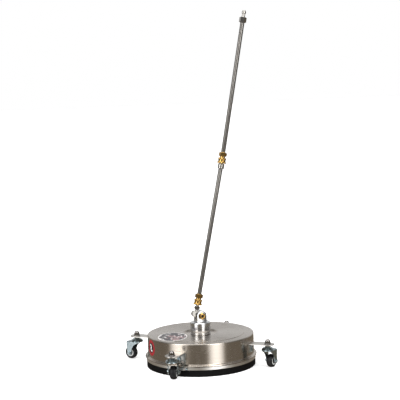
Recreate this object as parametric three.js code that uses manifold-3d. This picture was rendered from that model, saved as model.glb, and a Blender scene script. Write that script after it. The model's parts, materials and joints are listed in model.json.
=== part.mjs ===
// Rotary surface cleaner. A spun stainless deck stands on four swivel casters and a brush skirt.
// A rotary swivel on the deck carries a tilting lance and, under the deck, a spinning spray arm.
// Millimetres, +Z up. The origin is on the floor, on the axis of the deck.
// The operator stands on the +X side, so the lance leans towards +X.
import * as THREE from 'three';
import { mergeVertices } from 'three/addons/utils/BufferGeometryUtils.js';
import Module from 'manifold-3d';

const wasm = await Module();
wasm.setup();

// ---------------------------------------------------------------- driving dimensions
const gap = 0.3; // between pieces that touch

// Roundness of the turned pieces
const deckSegments = 56;
const swivelSegments = 24;
const wheelSegments = 20;
const smallSegments = 12;
const wallCutSegments = 120; // finer than the deck, so that a bracket stays clear of it

// Caster wheel, fork and stem
const wheelRadius = 25;
const tyreWidth = 24;
const tyreThickness = 10;
const tyreShoulder = 2.5;
const hubInset = 0.5; // from the tyre's side to the hub's rim
const hubRimThickness = 3;
const hubBossRadius = 7;
const axleRadius = 4;
const axleHexFlats = 12;
const axleHexHeight = 4.5;
const casterTrail = 27;
const forkGap = 5; // from tyre side to fork leg
const forkSheet = 2.2;
const forkBossRadius = 9;
const forkTopLeading = 20; // from the stem's axis to the fork's front, at its top
const forkTopTrailing = 38;
const forkThroat = 16; // the curve of the leg's leading edge is drawn towards this point
const forkThroatDrop = 9;
const crownRadius = 24;
const crownHeight = 4.7;
const crownClearance = 19; // from tyre top to crown
const rivetRadius = 9;
const rivetHeight = 3.5;
const stemRadius = 6;
const stemStickUp = 12;
const racewayHeight = 6.7;
const racewayTopRadius = 17;
const stemNutFlats = 19; // between the raceway and the bracket
const stemNutHeight = 10;

// Cap nut with its washer
const washerRadius = 12.5;
const washerHeight = 2.5;
const capHexFlats = 19;
const capHexHeight = 7;
const capDomeRadius = 9.4;
const capHeight = 17.8;

// Caster bracket and its bolts
const bracketThickness = 3;
const bracketWidth = 51;
const bracketFlange = 36;
const bracketDrop = 27; // from the deck's rim down to the bracket's top
const casterReach = 68.5; // from the deck wall out to the stem
const bracketBoltDepths = [12, 27];
const bracketBoltRadius = 4;
const bracketBoltFlats = 13;
const bracketBoltHead = 5.3;
const bracketNutHeight = 6.5;
const bracketBoltTail = 3;

// Deck shell
const deckRadius = 203;
const deckSheet = 2;
const rimFillet = 4;
const rimCorner = 1.2; // the middle of the fillet, in from the corner it replaces
const fieldRadius = 166; // raised centre field
const wellRadius = 66; // pressed well that the swivel stands in
const wellDepth = 6;
const wellRun = 7; // width of the well's sloped wall
const stepRise = 1.5;
const stepRun = 3;
const lipDrop = 80.5; // from the rim down to the widest line of the lip
const lipProjection = 10.2;
const lipHalfHeight = 4.5;
const lipNose = 2;
const neckProjection = 1; // the neck below the lip is this much wider than the wall
const neckLength = 20.5; // from the widest line of the lip down to the neck's end

// Brush skirt and its band
const skirtStripThickness = 3.6;
const bristleInset = 4.3; // how far the bristles reach inwards under the neck
const bandThickness = 0.8;
const bandWidth = 10;
const bandBelowLip = 4.5;
const bandScrewAngle = 230;
const bandScrewLength = 18;
const bandScrewHeight = 8;
const bandScrewRadius = 3.6;
const bandScrewHead = 9;

// Rotary swivel
const housingRadius = 38.5;
const housingTop = 43; // above the rim
const housingBevel = 2.5;
const neckThreadRadius = 24;
const neckThreadLength = 13; // below the well's floor
const bearingOuterRadius = 21;
const bearingInnerRadius = 10;
const bearingHeight = 12;
const bearingSpacing = 6;
const bearingRecess = 3.5;
const sealHeight = 7;
const sealRise = 3.2;
const hubNutRadius = 34;
const hubNutHeight = 10;
const waterBore = 4;

// Spray arm
const shaftCollarRadius = 13;
const shaftCollarHeight = 11;
const shaftSeat = 12;
const armSpan = 320; // between the two nozzles
const armRadius = 7;
const armHub = [44, 34, 26];
const elbowRadius = 9;
const elbowHeight = 26;
const nozzleTilt = 15;
const nozzleFlats = 14;
const nozzleHexHeight = 7;
const nozzleTipRadius = 5;
const nozzleTipHeight = 8;
const nozzleThreadRadius = 4;
const nozzleThreadLength = 8;

// Yoke and pivot
const pivotRise = 67.5; // above the rim
const yokeWidth = 38;
const earRadius = 19.5;
const eyeRadius = 13.5;
const eyeWidth = 15.4;
const stemOffset = 17.7; // from the pivot back to the lance's axis
const heelOut = 24.2; // the arm's rounded heel, out from the pivot
const heelRise = 3;
const heelRadius = 11.5;
const eyeFloorClearance = 1.5;
const spigotRadius = 10;
const spigotLength = 9;
const pivotBoltRadius = 7;
const pivotHeadFlats = 26;
const pivotHeadHeight = 8;
const pivotRecessRadius = 6;
const pivotRecessDepth = 5;
const pivotNutFlats = 24;
const pivotNutHeight = 8;
const pivotBoltTail = 1.5;

// Stem, couplers and lance, measured along the lance from the pivot
const lowerLean = 12.1; // from upright
const couplerPlay = -1.3; // how far the upper lance tips in its coupler
const stemNeckRadius = 6.2;
const stemHexFlats = 18;
const stemHexStart = 21.5;
const stemHexHeight = 10.5;
const stemBore = 3;
const couplerStart = 37.5;
const plugRadius = 6;
const plugLength = 20;
const plugGroove = 1.2;
const couplerClearance = 1;
const couplerFaceGap = 1;
const couplerLength = 43;
const couplerBodyRadius = 10;
const couplerHexFlats = 26.5;
const couplerHexHeight = 15;
const sleeveRadius = 16.5;
const sleeveWaist = 14.3;
const sleeveLength = 21;
const sleeveRim = 5.5;
const tubeRadius = 8;
const tubeWall = 2;
const tubeSeat = 12;
const lowerTubeVisible = 485;
const collarRadius = 12;
const collarLength = 19;
const kneeRise = 8; // from the collar's top to the point the upper lance tips about
const upperTubeVisible = 497;
const gunHexFlats = 24;
const gunHexHeight = 21;
const gunNeckRadius = 6.2;
const gunHeadRadius = 8;
const gunPlugLength = 25.5;

// ---------------------------------------------------------------- placements worked out from them
const crownUnder = 2 * wheelRadius + crownClearance;
const crownTop = crownUnder + crownHeight;
const racewayUnder = crownTop + gap;
const racewayTop = racewayUnder + racewayHeight;
const stemNutTop = racewayTop + stemNutHeight;
const bracketUnder = stemNutTop + gap;
const bracketTop = bracketUnder + bracketThickness;
const deckTop = bracketTop + bracketDrop; // height of the rim
const casterRadius = deckRadius + casterReach;
const hubRadius = wheelRadius - tyreThickness - gap;
const forkInner = tyreWidth / 2 + forkGap;
const forkOuter = forkInner + forkSheet;
const neckRadius = deckRadius + neckProjection;
const skirtInner = neckRadius + gap;
const skirtOuter = skirtInner + skirtStripThickness;
const wellFloor = stepRise - wellDepth; // its top face, from the rim
const wellUnder = wellFloor - deckSheet;
const housingUnder = wellFloor + gap;
const neckEnd = wellFloor - neckThreadLength;
const bearingBore = bearingOuterRadius + gap;
const lowerBearingUnder = neckEnd + bearingRecess;
const upperBearingUnder = lowerBearingUnder + bearingHeight + bearingSpacing;
const sealUnder = upperBearingUnder + bearingHeight + sealRise;
const housingCeiling = sealUnder + sealHeight + gap;
const yokeUnder = housingTop + gap;
const slotFloor = pivotRise - eyeRadius - eyeFloorClearance;
const slotHalf = eyeWidth / 2 + gap;
const tubeBore = tubeRadius - tubeWall;
const collarUnder = couplerStart + couplerLength + lowerTubeVisible;
const collarTop = collarUnder + collarLength;

// ---------------------------------------------------------------- materials
function finish(color, roughness, metalness) {
  return new THREE.MeshStandardMaterial({ color, roughness, metalness });
}
const stainless = finish(0xafa59b, 0.35, 1);
const zinc = finish(0xb9c2c4, 0.3, 1);
const steel = finish(0x85817c, 0.4, 1);
const nickel = finish(0xc4c2bd, 0.2, 1);
const aluminium = finish(0xd2d3d4, 0.25, 1);
const brass = finish(0xc79a3c, 0.25, 1);
const blackBristle = finish(0x161616, 0.9, 0);
const blackRubber = finish(0x1b1b1d, 0.7, 0);
const greyPlastic = finish(0xb8bab8, 0.5, 0);

// ---------------------------------------------------------------- joining, cutting and basic shapes
function manifoldOf(geometry) {
  const bare = geometry.clone();
  bare.deleteAttribute('normal');
  bare.deleteAttribute('uv');
  const merged = mergeVertices(bare, 1e-4);
  const corners = merged.index.array;
  const triangles = [];
  for (let i = 0; i < corners.length; i += 3) {
    const [a, b, c] = [corners[i], corners[i + 1], corners[i + 2]];
    if (a !== b && b !== c && c !== a) triangles.push(a, b, c);
  }
  const vertProperties = Float32Array.from(merged.attributes.position.array);
  const triVerts = Uint32Array.from(triangles);
  return new wasm.Manifold(new wasm.Mesh({ numProp: 3, vertProperties, triVerts }));
}

function geometryOf(manifold) {
  const mesh = manifold.getMesh();
  const geometry = new THREE.BufferGeometry();
  geometry.setAttribute('position', new THREE.BufferAttribute(mesh.vertProperties, 3));
  geometry.setIndex(new THREE.BufferAttribute(mesh.triVerts, 1));
  return geometry;
}

function join(first, ...others) {
  return geometryOf(others.reduce((whole, piece) => whole.add(manifoldOf(piece)), manifoldOf(first)));
}

function cut(first, ...others) {
  return geometryOf(others.reduce((whole, tool) => whole.subtract(manifoldOf(tool)), manifoldOf(first)));
}

// A piece turned about +Z from [radius, height] points, listed from bottom to top on the outside.
// Its profile starts and ends on the axis.
function turned(points, segments = smallSegments) {
  const outline = points.map(([radius, height]) => new THREE.Vector2(radius, height));
  return new THREE.LatheGeometry(outline, segments).rotateX(Math.PI / 2);
}

// A turned ring: the profile closes on itself.
function turnedRing(points, segments = smallSegments) {
  return turned([...points, points[0]], segments);
}

// A plain ring between two radii and two heights.
function ring(inner, outer, low, high, segments = smallSegments) {
  return turnedRing([[inner, low], [outer, low], [outer, high], [inner, high]], segments);
}

// A round bar along +Z.
function bar(radius, low, high, segments = smallSegments) {
  const rod = new THREE.CylinderGeometry(radius, radius, high - low, segments);
  return rod.rotateX(Math.PI / 2).translate(0, 0, (low + high) / 2);
}

// A hexagon bar along +Z, given across its flats.
function hexBar(flats, low, high) {
  return bar(flats / Math.sqrt(3), low, high, 6);
}

// Lays a piece that was made along +Z down along +Y or +X.
function alongY(geometry) {
  return geometry.rotateX(-Math.PI / 2);
}
function alongX(geometry) {
  return geometry.rotateY(Math.PI / 2);
}

// A closed outline in the XZ plane, extruded to both sides of y = middle.
function slab(shape, thickness, middle, curveSegments) {
  const settings = { depth: thickness, bevelEnabled: false, curveSegments };
  const upright = new THREE.ExtrudeGeometry(shape, settings).rotateX(Math.PI / 2);
  return upright.translate(0, middle + thickness / 2, 0);
}

function place(parent, name, geometry, material) {
  const mesh = new THREE.Mesh(geometry, material);
  mesh.name = name;
  parent.add(mesh);
}

// ---------------------------------------------------------------- deck, in heights from the rim
const machine = new THREE.Group();
const deck = new THREE.Group();
deck.position.z = deckTop;
machine.add(deck);

const casters = [
  { name: 'rear_right', angle: 45, heading: 95 },
  { name: 'front_right', angle: 135, heading: 128 },
  { name: 'front_left', angle: 225, heading: 58 },
  { name: 'rear_left', angle: 315, heading: 36 },
];

// The holes for the bracket bolts, through anything near the wall at one caster's angle.
function bracketBoltHoles(angle, inner, outer) {
  return bracketBoltDepths.map((depth) => {
    const hole = alongX(bar(bracketBoltRadius + gap, inner, outer));
    hole.translate(0, 0, -bracketDrop - depth);
    return hole.rotateZ(THREE.MathUtils.degToRad(angle));
  });
}

function deckShell() {
  const hole = neckThreadRadius + gap;
  const wallInner = deckRadius - deckSheet;
  const lip = deckRadius + lipProjection;
  const profile = [
    [wallInner, -lipDrop - neckLength],
    [neckRadius, -lipDrop - neckLength],
    [neckRadius, -lipDrop - lipHalfHeight],
    [lip - lipNose, -lipDrop - lipHalfHeight / 2],
    [lip, -lipDrop],
    [lip - lipNose, -lipDrop + lipHalfHeight / 2],
    [deckRadius, -lipDrop + lipHalfHeight],
    [deckRadius, -rimFillet],
    [deckRadius - rimCorner, -rimCorner],
    [deckRadius - rimFillet, 0],
    [fieldRadius + stepRun, 0],
    [fieldRadius, stepRise],
    [wellRadius, stepRise],
    [wellRadius - wellRun, wellFloor],
    [hole, wellFloor],
    [hole, wellUnder],
    [wellRadius - wellRun, wellUnder],
    [wellRadius, stepRise - deckSheet],
    [fieldRadius, stepRise - deckSheet],
    [fieldRadius + stepRun, -deckSheet],
    [wallInner, -deckSheet],
  ];
  const shell = turnedRing(profile, deckSegments);
  const holes = casters.flatMap(({ angle }) => bracketBoltHoles(angle, wallInner - 5, neckRadius + 5));
  return cut(shell, ...holes);
}
place(deck, 'deck_shell', deckShell(), stainless);

function brushSkirt() {
  const top = -lipDrop - lipHalfHeight - gap;
  const neckLow = -lipDrop - neckLength - gap;
  const profile = [
    [skirtInner - bristleInset, -deckTop],
    [skirtOuter, -deckTop],
    [skirtOuter, top],
    [skirtInner, top],
    [skirtInner, neckLow],
    [skirtInner - bristleInset, neckLow],
  ];
  return turnedRing(profile, deckSegments);
}
place(deck, 'brush_skirt', brushSkirt(), blackBristle);

function skirtBand() {
  const inner = skirtOuter + gap;
  const outer = inner + bandThickness;
  const top = -lipDrop - bandBelowLip;
  const low = top - bandWidth;
  const strap = ring(inner, outer, low, top, deckSegments);
  const box = new THREE.BoxGeometry(bandScrewHeight, bandScrewLength, bandWidth);
  box.translate(inner + bandScrewHeight / 2 + bandThickness / 4, 0, (low + top) / 2);
  const screw = alongY(bar(bandScrewRadius, 0, bandScrewLength / 2 + bandScrewHead));
  screw.translate(outer + bandScrewHeight / 2, 0, (low + top) / 2);
  const turn = THREE.MathUtils.degToRad(bandScrewAngle);
  return join(strap, box.rotateZ(turn), screw.rotateZ(turn));
}
place(deck, 'skirt_band', skirtBand(), stainless);

// ---------------------------------------------------------------- swivel, in heights from the rim
function swivelHousing() {
  const profile = [
    [bearingBore, neckEnd],
    [neckThreadRadius, neckEnd],
    [neckThreadRadius, housingUnder],
    [housingRadius, housingUnder],
    [housingRadius, housingTop - housingBevel],
    [housingRadius - housingBevel, housingTop],
    [spigotRadius + gap, housingTop],
    [spigotRadius + gap, housingCeiling],
    [bearingBore, housingCeiling],
  ];
  return turnedRing(profile, swivelSegments);
}
place(deck, 'swivel_housing', swivelHousing(), aluminium);

const hubNutTop = wellUnder - gap;
const hubNut = cut(
  bar(hubNutRadius, hubNutTop - hubNutHeight, hubNutTop, 8),
  bar(neckThreadRadius + gap, hubNutTop - hubNutHeight - 1, hubNutTop + 1, swivelSegments),
);
place(deck, 'hub_nut', hubNut, zinc);

function bearing(low) {
  return ring(bearingInnerRadius + gap, bearingOuterRadius, low, low + bearingHeight, swivelSegments);
}
place(deck, 'bearing_lower', bearing(lowerBearingUnder), steel);
place(deck, 'bearing_upper', bearing(upperBearingUnder), steel);

const sealTop = sealUnder + sealHeight;
const seal = ring(bearingInnerRadius + gap, bearingOuterRadius, sealUnder, sealTop, swivelSegments);
place(deck, 'shaft_seal', seal, blackRubber);

// ---------------------------------------------------------------- rotor, in heights from the rim
const collarShoulder = lowerBearingUnder - gap;
const hubTop = collarShoulder - shaftCollarHeight - gap;
const armHeight = hubTop - armHub[2] / 2;

function rotorShaft() {
  const clipUnder = upperBearingUnder + bearingHeight + gap;
  const profile = [
    [waterBore, hubTop - shaftSeat],
    [bearingInnerRadius, hubTop - shaftSeat],
    [bearingInnerRadius, hubTop + gap],
    [shaftCollarRadius, hubTop + gap],
    [shaftCollarRadius, collarShoulder],
    [bearingInnerRadius, collarShoulder],
    [bearingInnerRadius, clipUnder],
    [shaftCollarRadius, clipUnder],
    [shaftCollarRadius, sealUnder - gap],
    [bearingInnerRadius, sealUnder - gap],
    [bearingInnerRadius, sealTop],
    [waterBore, sealTop],
  ];
  return turnedRing(profile, swivelSegments);
}
place(deck, 'rotor_shaft', rotorShaft(), steel);

// The nozzle seats stand at the arm's ends, tipped opposite ways so that the jets turn the arm.
function atArmEnd(geometry, side) {
  const tilt = THREE.MathUtils.degToRad(nozzleTilt * side);
  return geometry.rotateX(tilt).translate(side * armSpan / 2, 0, armHeight);
}

function sprayArm() {
  const hub = new THREE.BoxGeometry(...armHub).translate(0, 0, armHeight);
  const tube = alongX(bar(armRadius, -armSpan / 2, armSpan / 2));
  tube.translate(0, 0, armHeight);
  const elbow = () => bar(elbowRadius, -elbowHeight / 2, elbowHeight / 2);
  const elbows = [-1, 1].map((side) => atArmEnd(elbow(), side));
  const threads = [-1, 1].map((side) => {
    const low = -elbowHeight / 2;
    return atArmEnd(bar(nozzleThreadRadius + gap, low - 1, low + nozzleThreadLength + 2 * gap), side);
  });
  const seat = bar(bearingInnerRadius + gap, hubTop - shaftSeat - gap, hubTop + 1, swivelSegments);
  return cut(join(hub, tube, ...elbows), ...threads, seat);
}
place(deck, 'spray_arm', sprayArm(), steel);

function nozzle(side) {
  const top = -elbowHeight / 2 - gap;
  const hex = hexBar(nozzleFlats, top - nozzleHexHeight, top);
  const thread = bar(nozzleThreadRadius, top - 1, top + nozzleThreadLength);
  const tip = bar(nozzleTipRadius, top - nozzleHexHeight - nozzleTipHeight, top - nozzleHexHeight + 1);
  const slotLow = top - nozzleHexHeight - nozzleTipHeight;
  const slot = new THREE.BoxGeometry(1.6, 3 * nozzleTipRadius, 3).translate(0, 0, slotLow);
  return atArmEnd(cut(join(hex, thread, tip), slot), side);
}
place(deck, 'nozzle_a', nozzle(1), brass);
place(deck, 'nozzle_b', nozzle(-1), brass);

// ---------------------------------------------------------------- yoke and pivot, in heights from the rim
function yoke() {
  const outline = new THREE.Shape();
  outline.moveTo(-earRadius, yokeUnder);
  outline.lineTo(earRadius, yokeUnder);
  outline.lineTo(earRadius, pivotRise);
  outline.absarc(0, pivotRise, earRadius, 0, Math.PI, false);
  outline.closePath();
  const block = slab(outline, yokeWidth, 0, 12);
  const spigot = bar(spigotRadius, yokeUnder - spigotLength, yokeUnder + 1, swivelSegments);
  const slotHeight = pivotRise + earRadius + 1 - slotFloor;
  const slot = new THREE.BoxGeometry(3 * earRadius, 2 * slotHalf, slotHeight);
  slot.translate(0, 0, slotFloor + slotHeight / 2);
  const pin = alongY(bar(pivotBoltRadius + gap, -yokeWidth, yokeWidth, wheelSegments));
  pin.translate(0, 0, pivotRise);
  const water = bar(waterBore, yokeUnder - spigotLength - 1, slotFloor + 1);
  return cut(join(block, spigot), slot, pin, water);
}
place(deck, 'yoke', yoke(), aluminium);

// The bolt's head is on the -Y ear and its nut on the +Y ear.
const earFace = yokeWidth / 2 + gap;

function pivotBolt() {
  const head = hexBar(pivotHeadFlats, -earFace - pivotHeadHeight, -earFace);
  const tail = earFace + pivotNutHeight + pivotBoltTail;
  const shank = bar(pivotBoltRadius, -earFace - 1, tail, wheelSegments);
  const recessFloor = -earFace - pivotHeadHeight + pivotRecessDepth;
  const recess = bar(pivotRecessRadius, -earFace - pivotHeadHeight - 1, recessFloor);
  return alongY(cut(join(head, shank), recess)).translate(0, 0, pivotRise);
}
place(deck, 'pivot_bolt', pivotBolt(), brass);

function pivotNut() {
  const nut = hexBar(pivotNutFlats, earFace, earFace + pivotNutHeight);
  const thread = bar(pivotBoltRadius + gap, earFace - 1, earFace + pivotNutHeight + 1, wheelSegments);
  return alongY(cut(nut, thread)).translate(0, 0, pivotRise);
}
place(deck, 'pivot_nut', pivotNut(), brass);

// ---------------------------------------------------------------- wand, in lengths from the pivot
const wand = new THREE.Group();
wand.position.z = deckTop + pivotRise;
wand.rotation.y = THREE.MathUtils.degToRad(lowerLean);
machine.add(wand);
const lance = new THREE.Group();
lance.position.x = -stemOffset;
wand.add(lance);

// The outline of a quick-connect plug from its shoulder up to its nose.
function plugProfile(shoulder) {
  const grooveLow = shoulder + plugLength * 0.45;
  return [
    [plugRadius, shoulder],
    [plugRadius, grooveLow],
    [plugRadius - plugGroove, grooveLow + plugGroove],
    [plugRadius - plugGroove, grooveLow + 2 * plugGroove],
    [plugRadius, grooveLow + 3 * plugGroove],
    [plugRadius, shoulder + plugLength - 1],
    [plugRadius - 1, shoulder + plugLength],
  ];
}

// The arm that tilts between the ears: the round eye on the pivot and the heel under the stem.
function tiltArm() {
  const heel = new THREE.Vector2(-heelOut, heelRise);
  const towards = heel.angle();
  const tangent = Math.acos((eyeRadius - heelRadius) / heel.length());
  const outline = new THREE.Shape();
  outline.absarc(0, 0, eyeRadius, towards + tangent, towards - tangent + 2 * Math.PI, false);
  outline.absarc(heel.x, heel.y, heelRadius, towards - tangent, towards + tangent, false);
  outline.closePath();
  return slab(outline, eyeWidth, 0, 16).translate(stemOffset, 0, 0);
}

function pivotStem() {
  const hexEnd = stemHexStart + stemHexHeight;
  const neck = bar(stemNeckRadius, 0, stemHexStart + 1);
  const hex = hexBar(stemHexFlats, stemHexStart, hexEnd);
  const plug = turned([[0, hexEnd - 1], [plugRadius, hexEnd - 1], ...plugProfile(couplerStart),
    [0, couplerStart + plugLength]]);
  const pin = alongY(bar(pivotBoltRadius + gap, -eyeWidth, eyeWidth, wheelSegments));
  pin.translate(stemOffset, 0, 0);
  const water = bar(stemBore, 0, couplerStart + plugLength + 1);
  const crossWater = alongX(bar(stemBore, 0, stemOffset));
  return cut(join(tiltArm(), neck, hex, plug), pin, water, crossWater);
}
place(lance, 'pivot_stem', pivotStem(), nickel);

// A coupler socket from its plug end at `start`: bored for the plug, hexagon, seat for the tube.
function couplerSocket(start) {
  const end = start + couplerLength;
  const face = start + couplerFaceGap;
  const seatFloor = end - tubeSeat - gap;
  const body = bar(couplerBodyRadius, face, end - 1, wheelSegments);
  const hex = hexBar(couplerHexFlats, end - couplerHexHeight, end);
  const plugBore = bar(plugRadius + couplerClearance, face - 1, start + plugLength + 1);
  const water = bar(waterBore, start + plugLength, end);
  const seat = bar(tubeRadius + gap, seatFloor, end + 1);
  return cut(join(body, hex), plugBore, water, seat);
}

// The sliding sleeve of a coupler: a spool with a wide rim at each end.
function couplerSleeve(start) {
  const low = start + couplerFaceGap;
  const high = low + sleeveLength;
  const inner = couplerBodyRadius + gap;
  const rimSlope = 1.2;
  const profile = [
    [inner, low],
    [sleeveRadius, low],
    [sleeveRadius, low + sleeveRim],
    [sleeveWaist, low + sleeveRim + rimSlope],
    [sleeveWaist, high - sleeveRim - rimSlope],
    [sleeveRadius - 1, high - sleeveRim],
    [sleeveRadius - 1, high],
    [inner, high],
  ];
  return turnedRing(profile, wheelSegments);
}

function lanceTube(low, high) {
  return ring(tubeBore, tubeRadius, low, high);
}

place(lance, 'coupler_lower_socket', couplerSocket(couplerStart), brass);
place(lance, 'coupler_lower_sleeve', couplerSleeve(couplerStart), brass);
const lowerTubeLow = couplerStart + couplerLength - tubeSeat;
place(lance, 'lance_lower', lanceTube(lowerTubeLow, collarUnder + tubeSeat), steel);

// The collar on the lower lance carries the plug of the upper coupler.
function lanceCollar() {
  const solid = turned([[0, collarUnder], [collarRadius - 1, collarUnder], [collarRadius, collarUnder + 1],
    [collarRadius, collarTop - 2], [collarRadius - 2, collarTop], ...plugProfile(collarTop),
    [0, collarTop + plugLength]]);
  const seat = bar(tubeRadius + gap, collarUnder - 1, collarUnder + tubeSeat + gap);
  const water = bar(waterBore, collarUnder, collarTop + plugLength + 1);
  return cut(solid, seat, water);
}
place(lance, 'lance_collar', lanceCollar(), steel);

// The upper lance tips a little in its coupler, about a point just inside the socket.
const upperLance = new THREE.Group();
const knee = collarTop + kneeRise;
upperLance.position.z = knee;
upperLance.rotation.y = THREE.MathUtils.degToRad(couplerPlay);
lance.add(upperLance);

place(upperLance, 'coupler_upper_socket', couplerSocket(-kneeRise), brass);
place(upperLance, 'coupler_upper_sleeve', couplerSleeve(-kneeRise), brass);
const upperTubeLow = couplerLength - kneeRise - tubeSeat;
const gunHexUnder = couplerLength - kneeRise + upperTubeVisible;
place(upperLance, 'lance_upper', lanceTube(upperTubeLow, gunHexUnder + tubeSeat), steel);

function gunPlug() {
  const hexTop = gunHexUnder + gunHexHeight;
  const tip = hexTop + gunPlugLength;
  const hex = hexBar(gunHexFlats, gunHexUnder, hexTop);
  const nose = turned([[0, hexTop - 1], [gunNeckRadius, hexTop - 1], [gunNeckRadius, tip - 13],
    [gunHeadRadius, tip - 11.5], [gunHeadRadius, tip - 5], [gunNeckRadius, tip - 3.5],
    [gunNeckRadius, tip - 1], [gunNeckRadius - 1, tip], [0, tip]]);
  const seat = bar(tubeRadius + gap, gunHexUnder - 1, gunHexUnder + tubeSeat + gap);
  const water = bar(waterBore, gunHexUnder, tip + 1);
  return cut(join(hex, nose), seat, water);
}
place(upperLance, 'gun_plug', gunPlug(), nickel);

// ---------------------------------------------------------------- casters, in heights from the floor
// One bracket, with +X out from the deck's axis.
function bracket() {
  const half = bracketWidth / 2;
  const inner = deckRadius + gap;
  const outer = inner + bracketThickness;
  const reach = Math.asin(half / outer);
  const plate = new THREE.Shape();
  plate.moveTo(deckRadius - bracketWidth / 4, -half);
  plate.lineTo(casterRadius, -half);
  plate.absarc(casterRadius, 0, half, -Math.PI / 2, Math.PI / 2, false);
  plate.lineTo(deckRadius - bracketWidth / 4, half);
  plate.closePath();
  const flatPlate = new THREE.ExtrudeGeometry(plate,
    { depth: bracketThickness, bevelEnabled: false, curveSegments: 10 });
  flatPlate.translate(0, 0, bracketUnder);
  const flange = new THREE.Shape();
  flange.absarc(0, 0, outer, -reach, reach, false);
  flange.absarc(0, 0, inner, reach, -reach, true);
  flange.closePath();
  const curvedFlange = new THREE.ExtrudeGeometry(flange,
    { depth: bracketFlange, bevelEnabled: false, curveSegments: 6 });
  curvedFlange.translate(0, 0, bracketTop - bracketFlange);
  const wall = bar(inner, bracketUnder - 1, bracketTop + 1, wallCutSegments);
  const stemHole = bar(stemRadius + gap, bracketUnder - 1, bracketTop + 1);
  stemHole.translate(casterRadius, 0, 0);
  const boltHoles = bracketBoltHoles(0, deckRadius - 5, outer + 5);
  boltHoles.forEach((hole) => hole.translate(0, 0, deckTop));
  return cut(join(cut(flatPlate, wall), curvedFlange), stemHole, ...boltHoles);
}

// One bracket bolt with its nut inside the deck, with +X out from the deck's axis.
function bracketBolt(depth) {
  const headUnder = deckRadius + bracketThickness + 2 * gap;
  const sagitta = 0.5;
  const nutFace = deckRadius - deckSheet - gap - sagitta;
  const head = hexBar(bracketBoltFlats, headUnder, headUnder + bracketBoltHead);
  const shank = bar(bracketBoltRadius, nutFace - bracketNutHeight - bracketBoltTail, headUnder + 1);
  const nut = hexBar(bracketBoltFlats, nutFace - bracketNutHeight, nutFace);
  return alongX(join(head, shank, nut)).translate(0, 0, bracketTop - depth);
}

// The stem, its nut and raceway under the bracket, and the rivet that holds the fork.
function casterStem() {
  const rivetTop = crownUnder - gap;
  const top = bracketTop + stemStickUp;
  const pin = turned([
    [0, rivetTop - rivetHeight],
    [rivetRadius, rivetTop - rivetHeight],
    [rivetRadius, rivetTop],
    [stemRadius, rivetTop],
    [stemRadius, racewayUnder],
    [crownRadius - 2, racewayUnder],
    [crownRadius, racewayUnder + 1.5],
    [racewayTopRadius, racewayTop],
    [stemRadius, racewayTop],
    [stemRadius, top],
    [0, top],
  ]);
  return join(pin, hexBar(stemNutFlats, racewayTop - 0.5, stemNutTop));
}

// Washer, hexagon and dome of the cap nut, bored for the stem.
function capNut() {
  const low = bracketTop + gap;
  const hexLow = low + washerHeight;
  const domeLow = hexLow + capHexHeight;
  const top = low + capHeight;
  const dome = [[0, domeLow - 1], [capDomeRadius, domeLow - 1]];
  const steps = 4;
  for (let i = 0; i <= steps; i += 1) {
    const angle = (i / steps) * (Math.PI / 2);
    dome.push([capDomeRadius * Math.cos(angle), domeLow + (top - domeLow) * Math.sin(angle)]);
  }
  dome[dome.length - 1][0] = 0;
  const washer = bar(washerRadius, low, hexLow + 0.5);
  const bore = bar(stemRadius + gap, low - 1, bracketTop + stemStickUp + gap);
  return cut(join(washer, hexBar(capHexFlats, hexLow, domeLow), turned(dome)), bore);
}

// The fork, with +X in the direction it trails.
function fork() {
  const crown = turned([[0, crownUnder], [crownRadius, crownUnder], [crownRadius, crownUnder + 2],
    [crownRadius - 4, crownTop], [0, crownTop]]);
  const leg = new THREE.Shape();
  leg.moveTo(-forkTopLeading, crownUnder);
  leg.quadraticCurveTo(forkThroat, crownUnder - forkThroatDrop, casterTrail - forkBossRadius, wheelRadius);
  leg.absarc(casterTrail, wheelRadius, forkBossRadius, Math.PI, 2 * Math.PI, false);
  leg.lineTo(forkTopTrailing, crownUnder);
  leg.lineTo(forkTopTrailing, crownTop);
  leg.lineTo(-forkTopLeading, crownTop);
  leg.closePath();
  const topLength = forkTopLeading + forkTopTrailing;
  const top = new THREE.BoxGeometry(topLength, 2 * forkOuter, forkSheet);
  top.translate(forkTopTrailing - topLength / 2, 0, crownUnder + forkSheet / 2);
  const middle = forkInner + forkSheet / 2;
  const legs = [-middle, middle].map((y) => slab(leg, forkSheet, y, 6));
  const kingpin = bar(stemRadius + gap, crownUnder - 1, crownTop + 1);
  const axleHole = alongY(bar(axleRadius + gap, -forkOuter - 1, forkOuter + 1));
  axleHole.translate(casterTrail, 0, wheelRadius);
  return cut(join(crown, top, ...legs), kingpin, axleHole);
}

// Wheel parts turn about their own +Y axis at the wheel's centre.
function axle() {
  const seat = forkOuter + gap;
  const shank = bar(axleRadius, -seat - 1, seat + 1);
  const head = hexBar(axleHexFlats, seat, seat + axleHexHeight);
  const nut = hexBar(axleHexFlats, -seat - axleHexHeight, -seat);
  return alongY(join(shank, head, nut));
}

function wheelHub() {
  const side = tyreWidth / 2 - hubInset;
  const rim = hubRadius - hubRimThickness;
  const boss = forkInner - gap;
  const bore = axleRadius + gap;
  return alongY(turnedRing([
    [bore, -boss], [hubBossRadius, -boss], [rim, -side], [hubRadius, -side],
    [hubRadius, side], [rim, side], [hubBossRadius, boss], [bore, boss],
  ], wheelSegments));
}

function tyre() {
  const side = tyreWidth / 2;
  const inner = hubRadius + gap;
  return alongY(turnedRing([
    [inner, -side], [wheelRadius - tyreShoulder, -side], [wheelRadius, -side + tyreShoulder],
    [wheelRadius, side - tyreShoulder], [wheelRadius - tyreShoulder, side], [inner, side],
  ], wheelSegments));
}

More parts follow.
